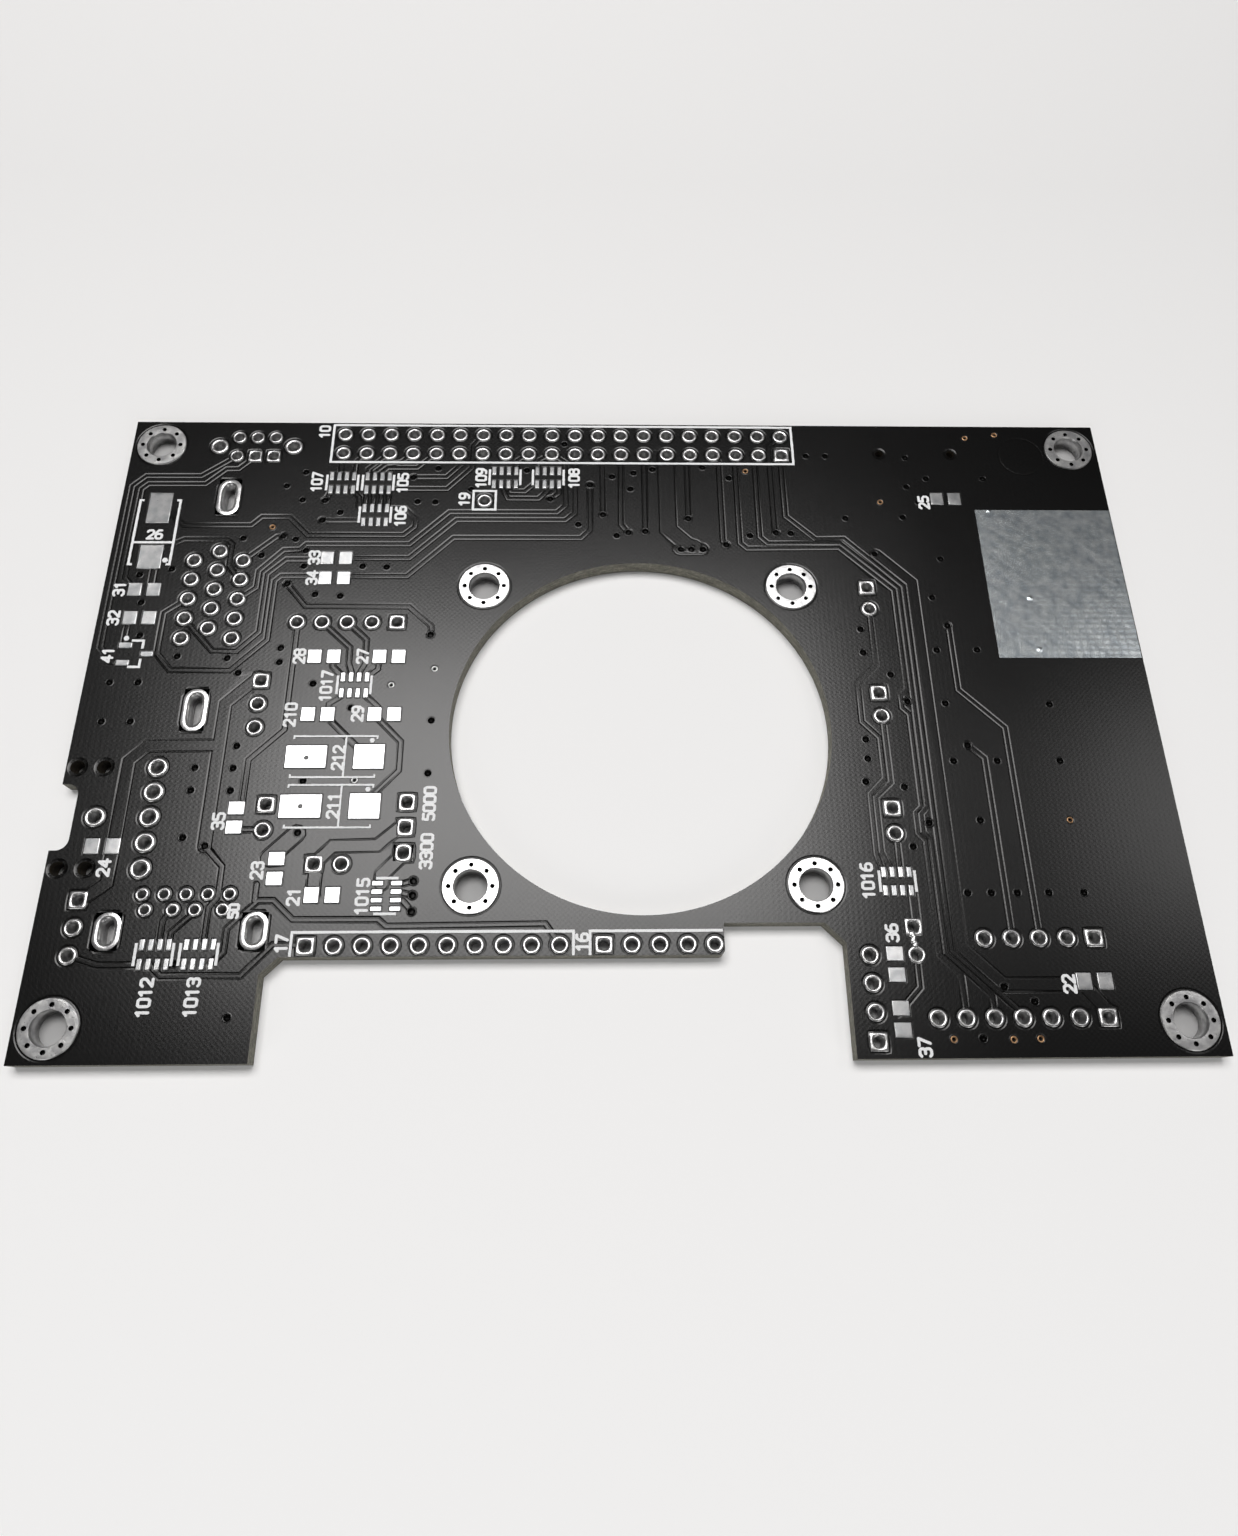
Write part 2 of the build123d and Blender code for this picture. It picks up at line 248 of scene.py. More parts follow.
maskLook = {
    "colour": (0.0028, 0.0028, 0.0029),
    "grooveColour": (0.0020, 0.0019, 0.0018),
    "grooveFade": 25.0,      # how fast the colour turns with depth, for each millimetre
    "roughLow": 0.205,
    "roughHigh": 0.25,
    "patchScale": 0.08,      # broad patches of roughness
    "grainScale": 6.0,
    "grainRough": 0.03,
    "grainStrength": 0.12,
    "weavePitch": 0.52,
    "weaveStrength": 0.05,
    "weaveBias": 0.45,       # how much the threads along y stand out
    "wander": 2.0,           # how far the threads stray
    "bumpDepth": 0.00002,
    "specular": 0.35,
    "pitFrom": 0.045,        # the pits over the small through holes lose their shine from this depth
    "pitFade": 30.0,
    "pitLoss": 0.85,
}


def makeMask():
    material, tree, shader = newMaterial("solder mask")
    look = maskLook
    spot = coordinates(tree)
    split = newNode(tree, "SeparateXYZ", {0: spot})
    wander = noise(tree, spot, 0.35, 2.0)
    threads = []
    for axis in ("X", "Y"):
        phase = maths(tree, "MULTIPLY", split.outputs[axis], 2 * math.pi / look["weavePitch"])
        phase = maths(tree, "ADD", phase, maths(tree, "MULTIPLY", wander, look["wander"]))
        threads.append(maths(tree, "SINE", phase, 0))
    weave = maths(tree, "MULTIPLY", threads[0], threads[1])
    weave = maths(tree, "ADD", weave, maths(tree, "MULTIPLY", threads[0], look["weaveBias"]))
    grain = noise(tree, spot, look["grainScale"], 4.0, 0.6)
    patches = noise(tree, spot, look["patchScale"], 3.0)
    rough = maths(tree, "ADD", look["roughLow"],
                  maths(tree, "MULTIPLY", patches, look["roughHigh"] - look["roughLow"]))
    rough = maths(tree, "ADD", rough, maths(tree, "MULTIPLY", grain, look["grainRough"]))
    depth = maths(tree, "SUBTRACT", topZ, split.outputs["Z"])
    mix = tree.nodes.new("ShaderNodeMix")
    mix.data_type = "RGBA"
    mix.clamp_factor = True
    feed(tree, mix, {"Factor": maths(tree, "MULTIPLY", depth, look["grooveFade"]), "A": (*look["colour"], 1),
                     "B": (*look["grooveColour"], 1)})
    pit = maths(tree, "MULTIPLY", maths(tree, "SUBTRACT", depth, look["pitFrom"]), look["pitFade"])
    pit = clamped(tree, pit, look["pitLoss"])
    shine = maths(tree, "MULTIPLY", maths(tree, "SUBTRACT", 1.0, pit), look["specular"])
    fine = bump(tree, weave, look["weaveStrength"], look["bumpDepth"])
    fine = bump(tree, grain, look["grainStrength"], look["bumpDepth"], fine)
    feed(tree, shader, {"Base Color": mix.outputs["Result"], "Roughness": rough, "Specular IOR Level": shine,
                        "Normal": fine})
    return material


# Rolled tin on the lands, flatter tin on the pads, and bare copper at a few small holes
tinLook = {
    "colour": (0.74, 0.74, 0.73),
    "dull": (0.40, 0.40, 0.41),
    "metal": 0.88,
    "rough": 0.22,
    "roughSpread": 0.16,
    "wave": 0.35,            # strength of the broad waves in the surface
    "grit": 0.25,            # strength of the fine grit
}
flatTinLook = {
    "colour": (0.54, 0.54, 0.54),
    "dull": (0.36, 0.37, 0.38),
    "metal": 0.92,
    "rough": 0.265,
    "roughSpread": 0.03,
    "wave": 0.12,
    "grit": 0.0,
}
copperLook = {**tinLook, "colour": (0.50, 0.30, 0.16), "dull": (0.20, 0.12, 0.07), "rough": 0.35, "wave": 0.2}


def makeTin(name, look):
    material, tree, shader = newMaterial(name)
    spot = coordinates(tree)
    broad = noise(tree, spot, 1.1, 3.0)
    fine = noise(tree, spot, 7.0, 4.0, 0.6)
    tint = ramp(tree, broad, [(0.3, look["dull"]), (0.7, look["colour"])])
    rough = maths(tree, "ADD", look["rough"], maths(tree, "MULTIPLY", fine, look["roughSpread"]))
    low = bump(tree, broad, look["wave"], 0.00006)
    feed(tree, shader, {"Base Color": tint, "Metallic": look["metal"], "Roughness": rough,
                        "Normal": bump(tree, fine, look["grit"], 0.00001, low)})
    return material


inkLook = {
    "colour": (0.80, 0.81, 0.82),
    "thin": (0.55, 0.56, 0.57),   # where the print is thin
    "rough": 0.55,
    "grit": 0.3,
    "rise": 0.012,                # how far the numbers stand above the board
    "ragged": 0.020,              # how uneven the print's edges are
    "longest": 0.45,              # longest edge left in the printed outlines
}


def makeInk():
    material, tree, shader = newMaterial("printed ink")
    spot = coordinates(tree)
    fine = noise(tree, spot, 9.0, 4.0, 0.7)
    tint = ramp(tree, fine, [(0.30, inkLook["thin"]), (0.48, inkLook["colour"])])
    feed(tree, shader, {"Base Color": tint, "Roughness": inkLook["rough"],
                        "Normal": bump(tree, fine, inkLook["grit"], 0.00002)})
    return material


laminateLook = {"resin": (0.15, 0.145, 0.115), "fibre": (0.34, 0.33, 0.27), "soot": (0.045, 0.042, 0.036)}
# Near-black laminate for the walls of the unplated peg holes: painted shade inside the holes
pegHoleShadeLook = {"resin": (0.020, 0.015, 0.008), "fibre": (0.06, 0.045, 0.02), "soot": (0.006, 0.005, 0.004)}


def makeLaminate(name, look):
    material, tree, shader = newMaterial(name)
    plies = noise(tree, coordinates(tree, (900, 900, 9000)), 1.0, 4.0, 0.6)
    specks = noise(tree, coordinates(tree), 4.0, 4.0, 0.7)
    both = maths(tree, "ADD", maths(tree, "MULTIPLY", plies, 0.6), maths(tree, "MULTIPLY", specks, 0.4))
    tint = ramp(tree, both, [(0.32, look["soot"]), (0.48, look["resin"]), (0.66, look["fibre"])])
    feed(tree, shader, {"Base Color": tint, "Roughness": 0.75, "Normal": bump(tree, both, 0.6, 0.00008)})
    return material


mask = makeMask()
tin = makeTin("tin", tinLook)
flatTin = makeTin("flat tin", flatTinLook)
copper = makeTin("bare copper", copperLook)
ink = makeInk()
laminate = makeLaminate("laminate edge", laminateLook)
# The drilled laminate is painted near black, as the shade inside the peg holes
drilled = makeLaminate("drilled laminate", pegHoleShadeLook)
print("materials made")

padNodes = ["chip_resistor_pads", "chip_capacitor_pads", "large_capacitor_pads", "transistor_pads",
            "resistor_array_pads"]
landNodes = [n for n in nodes if n.endswith(("_lands", "_land")) and n not in
             ("corner_hole_lands", "fan_hole_lands", "slot_lands", "bridged_pair_lands", "jumper_lands")]
lands = {n: islands(n) for n in landNodes}
pads = {n: islands(n) for n in padNodes}
screwLands = {n: islands(n) for n in ("corner_hole_lands", "fan_hole_lands")}
slotLands = islands("slot_lands")
jumperLands = islands("jumper_lands")
bridged = islands("bridged_pair_lands")[0]

reliefLook = {
    "gap": 0.23,          # clearance cut beside every trace and land
    "depth": 0.042,       # how far the mask sinks into that gap
    "trace": 0.27,        # width of an ordinary trace
    "viaLand": 0.62,      # copper round a small through hole
    "dimple": 0.64,       # width of the sunk mask over a small through hole
    "dimpleFloor": 0.40,
    "dimpleDepth": 0.18,
    "rim": 0.94,          # width of the low rim round it
    "rimHeight": 0.026,
    "pegRim": 0.24,       # sunk ring round the unplated peg holes
    "pegDepth": 0.035,
    "padDepth": 0.03,     # sunk line round every flat pad
    "sunkFace": 0.02,     # how far the mask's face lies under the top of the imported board
}


# Middle of a column of the two-row header, counted from the left
def headerX(k):
    return -30.32 + 2.54 * k


# Ordinary traces, as bend points
traces = [
    [(-41.8, 29.68), (-45.3, 27.0), (-51.2, 27.0), (-52.45, 25.7), (-52.4, 6.1), (-51.1, 4.5), (-50.4, 4.4)],
    [(-40.2, 29.2), (-41.4, 27.95), (-42.7, 27.95), (-44.7, 25.95), (-50.75, 25.95), (-51.4, 25.3),
     (-51.4, 14.2), (-50.5, 13.2)],
    [(-47.9, 22.3), (-46.2, 20.7), (-39.15, 20.7), (-38.15, 21.8), (-35.2, 21.8), (-33.1, 19.55), (-23.0, 19.55),
     (-21.9, 20.6), (-21.9, 21.75), (-23.1, 22.95), (-25.0, 23.0)],
    [(-39.5, 11.65), (-37.7, 13.1), (-37.7, 15.1), (-35.4, 17.65), (-33.7, 17.7), (-33.1, 18.4), (-22.3, 18.4),
     (-18.3, 22.5), (-6.8, 22.5), (-5.9, 23.4), (-5.9, 29.0), (headerX(9), 30.17)],
    [(-28.85, 16.7), (-22.2, 16.7), (-17.5, 21.5), (-5.9, 21.5), (-4.9, 22.4), (headerX(10), 30.17)],
    [(-28.9, 14.5), (-22.3, 14.5), (-17.7, 19.25), (-4.2, 19.25), (-3.25, 20.35), (-3.25, 26.1)],
    [(-30.75, 16.5), (-35.0, 16.5), (-36.8, 14.7), (-36.8, 7.9), (-38.8, 5.7), (-41.2, 5.7), (-44.55, 9.4)],
    [(-30.75, 14.5), (-35.3, 14.5), (-35.9, 13.9), (-35.9, 7.0), (-39.2, 3.55), (-45.1, 3.55), (-46.7, 5.4),
     (-46.7, 10.1), (-44.57, 11.7)],
    [(-49.1, 17.3), (-45.9, 18.95), (-41.4, 18.95), (-40.9, 18.35), (-40.9, 15.7), (-39.5, 13.95)],
    [(-35.65, 19.4), (-36.3, 19.3), (-39.5, 16.3)],
    [(-34.6, 13.55), (-32.4, 10.9), (-21.8, 10.9), (-19.4, 8.6), (-19.45, 7.6)],
    [(headerX(11), 30.17), (-1.85, 29.0), (-1.85, 22.25)],
    [(headerX(12), 30.17), (0.1, 21.0), (0.85, 20.0)],
    [(headerX(13), 30.17), (2.7, 20.15)],
    [(headerX(15), 30.17), (7.38, 29.0), (7.38, 21.8)],
    [(headerX(16), 30.17), (10.95, 29.3), (10.95, 19.0), (11.25, 18.5)],
    [(headerX(19), 32.71), (16.57, 31.4), (16.57, 20.05)],
    [(headerX(17), 30.17), (12.73, 29.5), (12.73, 18.7), (13.45, 18.0), (23.25, 18.15), (28.52, 12.95),
     (28.52, 1.5), (27.87, 0.8), (27.87, -0.6), (28.52, -1.25), (28.52, -11.0), (27.87, -11.6), (27.87, -13.7),
     (28.52, -14.4), (28.52, -25.2), (30.2, -27.0), (30.19, -30.8)],
    [(headerX(18), 30.17), (14.9, 29.5), (14.9, 19.5), (15.7, 18.65), (23.45, 18.72), (29.07, 13.2),
     (29.07, -10.95), (28.38, -11.7), (28.38, -13.6), (29.07, -14.3), (29.07, -25.1), (32.75, -28.8),
     (32.73, -30.8)],
    [(headerX(19), 30.17), (17.83, 29.5), (17.83, 22.1), (20.85, 19.2), (23.9, 19.3), (29.62, 13.45),
     (29.62, -24.9), (35.0, -30.3)],
    [(35.36, -23.0), (35.36, -6.0), (33.95, -4.7)],
    [(37.87, -23.0), (37.87, -2.75), (33.75, 1.4), (33.75, 8.8)],
    [(26.35, -25.2), (26.35, -28.1), (24.0, -30.5)],
    [(25.75, 10.7), (25.75, 4.2), (23.7, 2.1), (23.7, -2.1), (25.3, -3.8), (25.3, -8.1), (23.7, -9.7),
     (23.7, -15.7), (24.25, -17.5)],
    [(25.8, -1.4), (25.85, -8.5), (24.2, -10.0), (24.2, -15.5), (25.0, -17.5)],
    [(25.8, -13.65), (25.8, -17.5)],
    [(-33.05, 9.06), (-33.05, -2.9), (-36.15, -6.05), (-36.15, -10.6)],
    [(-39.0, -14.9), (-37.22, -16.7), (-37.22, -19.6), (-37.92, -20.5), (-37.92, -23.6)],
    [(-36.0, -13.15), (-34.2, -13.15)],
    [(-50.15, 9.0), (-50.15, 6.4)],
    [(-41.4, -21.0), (-41.87, -21.7), (-41.87, -23.5)],
    [(-39.3, -21.2), (-40.95, -22.8), (-40.95, -23.5)],
    [(-30.56, 9.06), (-27.45, 6.1), (-27.45, 4.3), (-27.1, 3.3)],
    [(-28.0, 9.06), (-25.85, 7.0), (-25.85, 4.3), (-26.3, 3.3)],
    [(-28.6, -2.0), (-25.9, -4.7)],
    [(-29.0, 4.4), (-29.0, 3.95), (-28.0, 3.0)],
    [(-24.5, 4.4), (-24.5, 3.7), (-25.3, 3.0)],
    [(-28.0, 0.6), (-29.05, -0.1), (-29.05, -0.6)],
    [(-25.3, 0.6), (-24.1, -0.6)],
    [(-24.45, -1.3), (-21.65, -4.2), (-21.65, -7.2), (-23.8, -9.6)],
    [(-5.94, -24.13), (-7.3, -22.2), (-21.7, -22.4), (-22.45, -21.75), (-30.2, -21.75), (-32.1, -19.95),
     (-33.5, -19.95), (-36.0, -22.5), (-36.0, -24.6), (-37.0, -25.7)],
    [(-17.62, 30.17), (-16.95, 29.1), (-18.85, 27.02), (-22.45, 27.02)],
    [(-15.08, 32.71), (-16.15, 31.3), (-16.15, 28.3), (-18.7, 25.47), (-24.2, 25.47)],
    [(-20.16, 30.17), (-22.1, 28.25), (-25.3, 28.25), (-25.9, 27.5)],
    [(-22.7, 30.17), (-23.9, 28.95), (-25.5, 28.8), (-26.6, 27.7)],
    [(-25.24, 30.17), (-27.4, 28.1), (-27.4, 27.4)],
    [(-27.78, 30.17), (-28.85, 29.0), (-28.85, 27.4)],
    [(-30.32, 30.17), (-30.42, 28.6), (-30.35, 27.7)],
    [(-28.95, 25.4), (-28.05, 24.3), (-28.05, 23.2)],
    *[[(x, 25.3), (x, 23.2)] for x in (-27.4, -26.58, -25.78, -24.98)],
    [(-31.7, 23.95), (-31.15, 25.3)],
    [(-31.75, 21.38), (-27.4, 21.4)],
    [(-12.1, 26.0), (-11.8, 25.2), (-10.3, 25.2), (-9.15, 26.4)],
    [(-12.9, 26.0), (-12.1, 24.25), (-8.8, 24.25), (-7.4, 25.8)],
    [(-7.55, 24.25), (-6.65, 25.0), (-6.65, 26.2)],
    [(-7.54, 30.17), (-8.8, 29.4), (-9.1, 28.4)],
    [(-10.08, 30.17), (-11.2, 29.3), (-11.3, 28.4)],
    [(-20.4, -18.4), (-19.5, -18.15)],
    [(-20.4, -19.3), (-19.5, -19.5)],
    [(-20.4, -20.0), (-19.5, -21.0)],
    [(-33.85, -18.4), (-33.85, -19.95)],
    [(-28.8, -24.05), (-31.7, -24.0), (-34.2, -26.75), (-41.3, -26.75), (-42.5, -25.7)],
    [(-49.75, -24.9), (-47.0, -25.75), (-44.7, -25.75), (-43.3, -25.7)],
]

# Wider traces: width, then bend points
wideTraces = [
    (1.02, [(-36.2, 2.85), (-39.12, -0.1), (-39.12, -14.8)]),
    (1.02, [(-39.12, -4.57), (-45.95, -4.57), (-47.48, -6.15), (-47.48, -18.2), (-49.2, -19.6)]),
    (0.42, [(-48.5, 15.2), (-48.5, 13.5)]),
    (1.05, [(-20.9, -12.8), (-23.05, -14.72), (-27.2, -14.78), (-28.6, -16.3), (-28.6, -19.2)]),
    (1.15, [(-20.6, -15.6), (-22.4, -17.5), (-22.4, -18.4)]),
    (1.45, [(-30.7, -13.55), (-33.0, -15.9)]),
    (1.02, [(27.1, 17.35), (30.52, 13.93), (30.52, -24.5), (33.9, -27.95), (39.3, -27.95)]),
    (1.1, [(41.3, -28.2), (42.85, -30.2)]),
    (1.62, [(5.12, 30.1), (5.12, 20.4), (6.9, 18.6)]),
    (1.3, [(6.3, 17.95), (8.6, 17.95)]),
    (1.3, [(6.4, 18.9), (7.9, 18.3)]),
    (0.57, [(26.7, -19.2), (26.7, -22.4)]),
]

# Small through holes with the mask sunk over them; the ringed ones are cut free of the copper round them
vias = [
    (-34.1, 27.6), (-36.0, 25.8), (-34.1, 24.0), (-36.9, 20.5), (-39.8, 19.1), (-34.3, 19.0), (-37.65, 17.0),
    (-46.7, 15.3), (-49.9, 14.6), (-49.2, 11.3), (-48.7, 7.45), (-44.6, 5.1), (-39.6, 4.9), (-34.4, 6.05),
    (-34.35, 4.45), (-19.8, 28.2), (-29.95, 22.4), (-21.8, 23.85), (-19.9, 23.8), (-16.1, 25.45), (-33.1, 17.6),
    (-33.1, 15.7), (-27.0, 15.7), (-24.5, 15.6), (-31.6, 12.3), (-29.0, 12.1), (-10.15, 28.0), (-4.5, 21.0),
    (-0.4, 19.6), (-0.85, 27.2), (1.5, 27.7), (1.15, 25.6), (3.6, 28.2), (-6.1, 31.55), (9.1, 28.5), (13.8, 28.0),
    (11.95, 27.1), (13.85, 19.65), (18.25, 19.95), (20.65, 30.1), (22.8, 30.1), (24.3, 21.9), (28.3, 24.0),
    (38.75, 32.65), (42.15, 33.1), (31.7, 29.95), (33.7, 27.15), (31.4, 26.05), (30.55, 22.05), (40.0, 27.15),
    (32.5, 24.0), (24.6, 8.3), (24.6, 5.6), (34.0, 16.8), (32.5, 12.1), (32.2, 5.9), (36.35, 5.95), (-50.8, 2.2),
    (-48.0, 2.2), (-50.85, -2.05), (-48.05, -2.05), (-38.3, 3.25), (-41.1, -6.9), (-41.15, -9.2), (-37.4, -4.65),
    (-37.45, -6.95), (-37.4, -9.25), (-41.2, -13.9), (-39.05, -14.7), (-30.6, -13.45), (-18.8, 3.7), (-23.0, 1.9),
    (-30.75, 2.05), (-26.75, -0.6), (-18.8, -1.95), (-18.8, -7.5), (-30.65, -8.25), (-25.75, -8.2), (-40.2, -25.6),
    (-34.9, -30.35), (23.9, -4.0), (23.9, -6.05), (23.45, -8.45), (27.15, 3.1), (27.15, -9.0), (27.3, -15.0),
    (32.3, -0.1), (42.8, -0.2), (32.3, -6.3), (36.6, -6.3), (42.8, -6.3), (34.05, -12.4), (42.7, -12.4),
    (31.85, -19.5), (34.05, -19.5), (36.5, -19.5), (39.45, -19.5), (42.75, -19.5), (28.8, -32.65), (31.4, -32.6),
    (34.1, -32.7), (36.5, -32.65), (33.95, -28.1), (36.5, -29.45), (6.4, 17.9), (7.5, 17.9), (8.75, 17.9)
]
ringedVias = [
    (-35.65, 19.4), (-31.7, 23.95), (-34.6, 13.55), (-22.45, 27.0), (-31.75, 21.4), (-19.45, 7.6), (-7.55, 24.25),
    (-3.25, 26.1), (-1.85, 22.25), (0.85, 20.0), (2.65, 20.15), (11.25, 18.5), (7.3, 21.8), (16.65, 20.05),
    (33.65, 8.75), (27.0, 17.4), (-19.5, -18.15), (-19.5, -19.5), (-19.5, -21.0), (28.5, 0.1), (29.1, -12.65),
    (33.9, -4.65)
]

gap = reliefLook["gap"]
allTraces = [(reliefLook["trace"], path) for path in traces] + wideTraces
segments = [(a, b, width / 2) for width, path in allTraces for a, b in zip(path, path[1:])]
segA = np.array([s[0] for s in segments])
segB = np.array([s[1] for s in segments])
segR = np.array([s[2] for s in segments])
discs = roundOnes([q for q in allOf(lands) if isRound(q)])
discs += [(x, y, reliefLook["viaLand"] / 2) for x, y in ringedVias]
discs += roundOnes(allOf(screwLands))
boxes = halves([q for q in allOf(lands) if not isRound(q)] + slotLands + jumperLands)
padBoxes = halves(allOf(pads))
discArray, boxArray = np.array(discs), np.array(boxes)


# Distance to the edges of boxes, less than nothing inside; corners count as round
def boxDistance(q, last):
    return np.linalg.norm(np.maximum(q, 0), axis=last) + np.minimum(q.max(last), 0)


# Distance from each point to the nearest drawn copper; less than nothing inside it
def copperDistance(points):
    best = np.full(len(points), 1e9)
    for start in range(0, len(points), 2000):
        p = points[start:start + 2000]
        ab = segB - segA
        ap = p[:, None, :] - segA[None]
        t = np.clip((ap * ab).sum(2) / np.maximum((ab * ab).sum(1), 1e-12), 0, 1)
        d = np.linalg.norm(ap - t[..., None] * ab, axis=2) - segR
        low = d.min(1)
        d = np.hypot(p[:, None, 0] - discArray[:, 0], p[:, None, 1] - discArray[:, 1]) - discArray[:, 2]
        low = np.minimum(low, d.min(1))
        q = np.abs(p[:, None, :] - boxArray[None, :, :2]) - boxArray[None, :, 2:]
        best[start:start + 2000] = np.minimum(low, boxDistance(q, 2).min(1))
    return best


# The outline of a trace: its bend points moved to both sides, with round ends
def offsetLoop(path, r):
    left, right = [], []
    for i, (x, y) in enumerate(path):
        before = path[max(i - 1, 0)]
        after = path[min(i + 1, len(path) - 1)]
        d1 = Vector((x - before[0], y - before[1]))
        d2 = Vector((after[0] - x, after[1] - y))
        if d1.length < 1e-9:
            d1 = d2
        if d2.length < 1e-9:
            d2 = d1
        d1.normalize()
        d2.normalize()
        n1, n2 = Vector((-d1.y, d1.x)), Vector((-d2.y, d2.x))
        m = (n1 + n2).normalized()
        k = r / max(m.dot(n1), 0.5)
        left.append((x + m.x * k, y + m.y * k))
        right.append((x - m.x * k, y - m.y * k))

    def cap(centre, start):
        a = math.atan2(start[1] - centre[1], start[0] - centre[0])
        return [(centre[0] + r * math.cos(a - math.pi * i / 5), centre[1] + r * math.sin(a - math.pi * i / 5))
                for i in range(1, 5)]

    return left + cap(path[-1], left[-1]) + right[::-1] + cap(path[0], right[0])


outlineZ = topZ - reliefLook["sunkFace"]


# Plan of the board: its outer outline and every opening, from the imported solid
def boardLoops():
    mesh = nodes["board"].data
    z = topZ * mm
    edges = {}
    for poly in mesh.polygons:
        co = [mesh.vertices[i].co for i in poly.vertices]
        if all(abs(c.z - z) < 1e-6 for c in co):
            keys = [(round(c.x / mm, 4), round(c.y / mm, 4)) for c in co]
            edges.update(dict.fromkeys(zip(keys, keys[1:] + keys[:1])))
    border = {a: b for a, b in edges if (b, a) not in edges}
    loops = []
    while border:
        first, here = border.popitem()
        loop = [first]
        while here != first:
            loop.append(here)
            here = border.pop(here)
        loops.append(loop)
    return loops


# Middle, width and depth of a loop
def span(loop):
    xs, ys = [p[0] for p in loop], [p[1] for p in loop]
    return (max(xs) + min(xs)) / 2, (max(ys) + min(ys)) / 2, max(xs) - min(xs), max(ys) - min(ys)


loops = sorted(boardLoops(), key=lambda loop: -span(loop)[2])
outline = loops[0]
print("outline points", len(outline), "openings", len(loops) - 1)

fanX, fanY, fanWidth = span(loops[1])[:3]
fanR = fanWidth / 2
bridge = {
    "apart": 1.27,        # from the middle of the bridged pair to each land
    "land": 1.6,
    "round": 0.82,        # radius of the round one; the other is square
    "hole": 1.0,
    "opening": 0.78,      # half of the opening that each land has in the mask
    # Blobs of the ragged neck: x, y and radius
    "neck": [(26.18, -23.3, 0.34), (26.34, -23.62, 0.22), (26.22, -23.9, 0.30), (26.42, -24.2, 0.26),
             (26.3, -24.5, 0.36)],
}
bridgeTop = (bridged["x"], bridged["y"] + bridge["apart"])
bridgeLow = (bridged["x"], bridged["y"] - bridge["apart"])
plated = [(q["x"], q["y"]) for q in allOf(lands) + allOf(screwLands) + slotLands + jumperLands]
plated += [bridgeTop, bridgeLow]
pegs = []
for loop in loops[1:]:
    cx, cy, w, d = span(loop)
    if d < 5 and min(math.hypot(cx - x, cy - y) for x, y in plated) > 0.5:
        pegs.append((cx, cy, d / 2))
bareArea = islands("bare_tinned_area")[0]
print("unplated pegs", len(pegs), "fan opening radius", round(fanR, 2))

# Openings of the mask, a little smaller than the tin that fills them
lap = 0.04
boxLap = 0.03
openDiscs = [(fanX, fanY, fanR)] + pegs
openDiscs += roundOnes(allOf(screwLands), lap)
openDiscs += [(x, y, r - lap) for x, y, r in discs if 0.5 < r < 2]
openDiscs += [(*bridgeLow, bridge["opening"])]
openBoxes = [(x, y, w - boxLap, d - boxLap) for x, y, w, d in boxes + padBoxes]
openBoxes += halves([bareArea], boxLap)
openBoxes += [(*bridgeTop, bridge["opening"], bridge["opening"])]


# Counts how often a line to the right of each point crosses the loop: an odd count is inside
def insideLoop(points, loop):
    xs, ys = [p[0] for p in loop], [p[1] for p in loop]
    inside = np.zeros(len(points), bool)
    near = np.flatnonzero((points[:, 0] > min(xs)) & (points[:, 0] < max(xs))
                          & (points[:, 1] > min(ys)) & (points[:, 1] < max(ys)))
    p = points[near]
    odd = np.zeros(len(p), bool)
    for (x1, y1), (x2, y2) in zip(loop, loop[1:] + loop[:1]):
        if y1 != y2:
            crosses = (p[:, 1] < y1) != (p[:, 1] < y2)
            odd ^= crosses & (p[:, 0] < x1 + (p[:, 1] - y1) * (x2 - x1) / (y2 - y1))
    inside[near] = odd
    return inside


# Triangles between closed loops, kept where they lie inside the edge and outside the holes
def triangulate(closed, edge, holes):
    points, lines = [], []
    for loop in closed:
        lines += [(len(points) + i, len(points) + (i + 1) % len(loop)) for i in range(len(loop))]
        points += loop
    out = delaunay_2d_cdt([Vector(p) for p in points], lines, [], 0, 1e-5, False)
    found, cells = np.array([(v.x, v.y) for v in out[0]]), [tuple(f) for f in out[2]]
    centres = np.array([(found[a] + found[b] + found[c]) / 3 for a, b, c in cells])
    keep = insideLoop(centres, edge)
    for loop in holes:
        keep &= ~insideLoop(centres, loop)
    return found, [cell for cell, kept in zip(cells, keep) if kept]


def sidesFor(r):
    return 128 if r > 10 else 32 if r > 2 else 20 if r > 0.5 else 12


roundOpenings = [circle(x, y, r, sidesFor(r)) for x, y, r in openDiscs]
squareOpenings = [rectangle(*box) for box in openBoxes]
grooveSteps = (0.04, gap / 2, gap - 0.04, gap + 0.02)
drawn = [outline] + roundOpenings + squareOpenings
for x, y, r in discs:
    for step in grooveSteps:
        drawn.append(circle(x, y, r + step, sidesFor(r)))
    if r < 0.5:
        drawn.append(circle(x, y, r, 12))
for x, y, w, d in boxes:
    for step in (0.0,) + grooveSteps:
        drawn.append(softRect(x, y, 2 * (w + step), 2 * (d + step), 0.02 + step, 16))
for width, path in allTraces:
    for step in (-0.02,) + grooveSteps:
        drawn.append(offsetLoop(path, width / 2 + step))
dimples = vias + ringedVias
well, bowl, rim = reliefLook["dimpleFloor"] / 2, reliefLook["dimple"] / 2, reliefLook["rim"] / 2
for x, y in dimples:
    for r in (well, (well + bowl) / 2, bowl, (bowl + rim) / 2, rim):
        drawn.append(circle(x, y, r, 12))
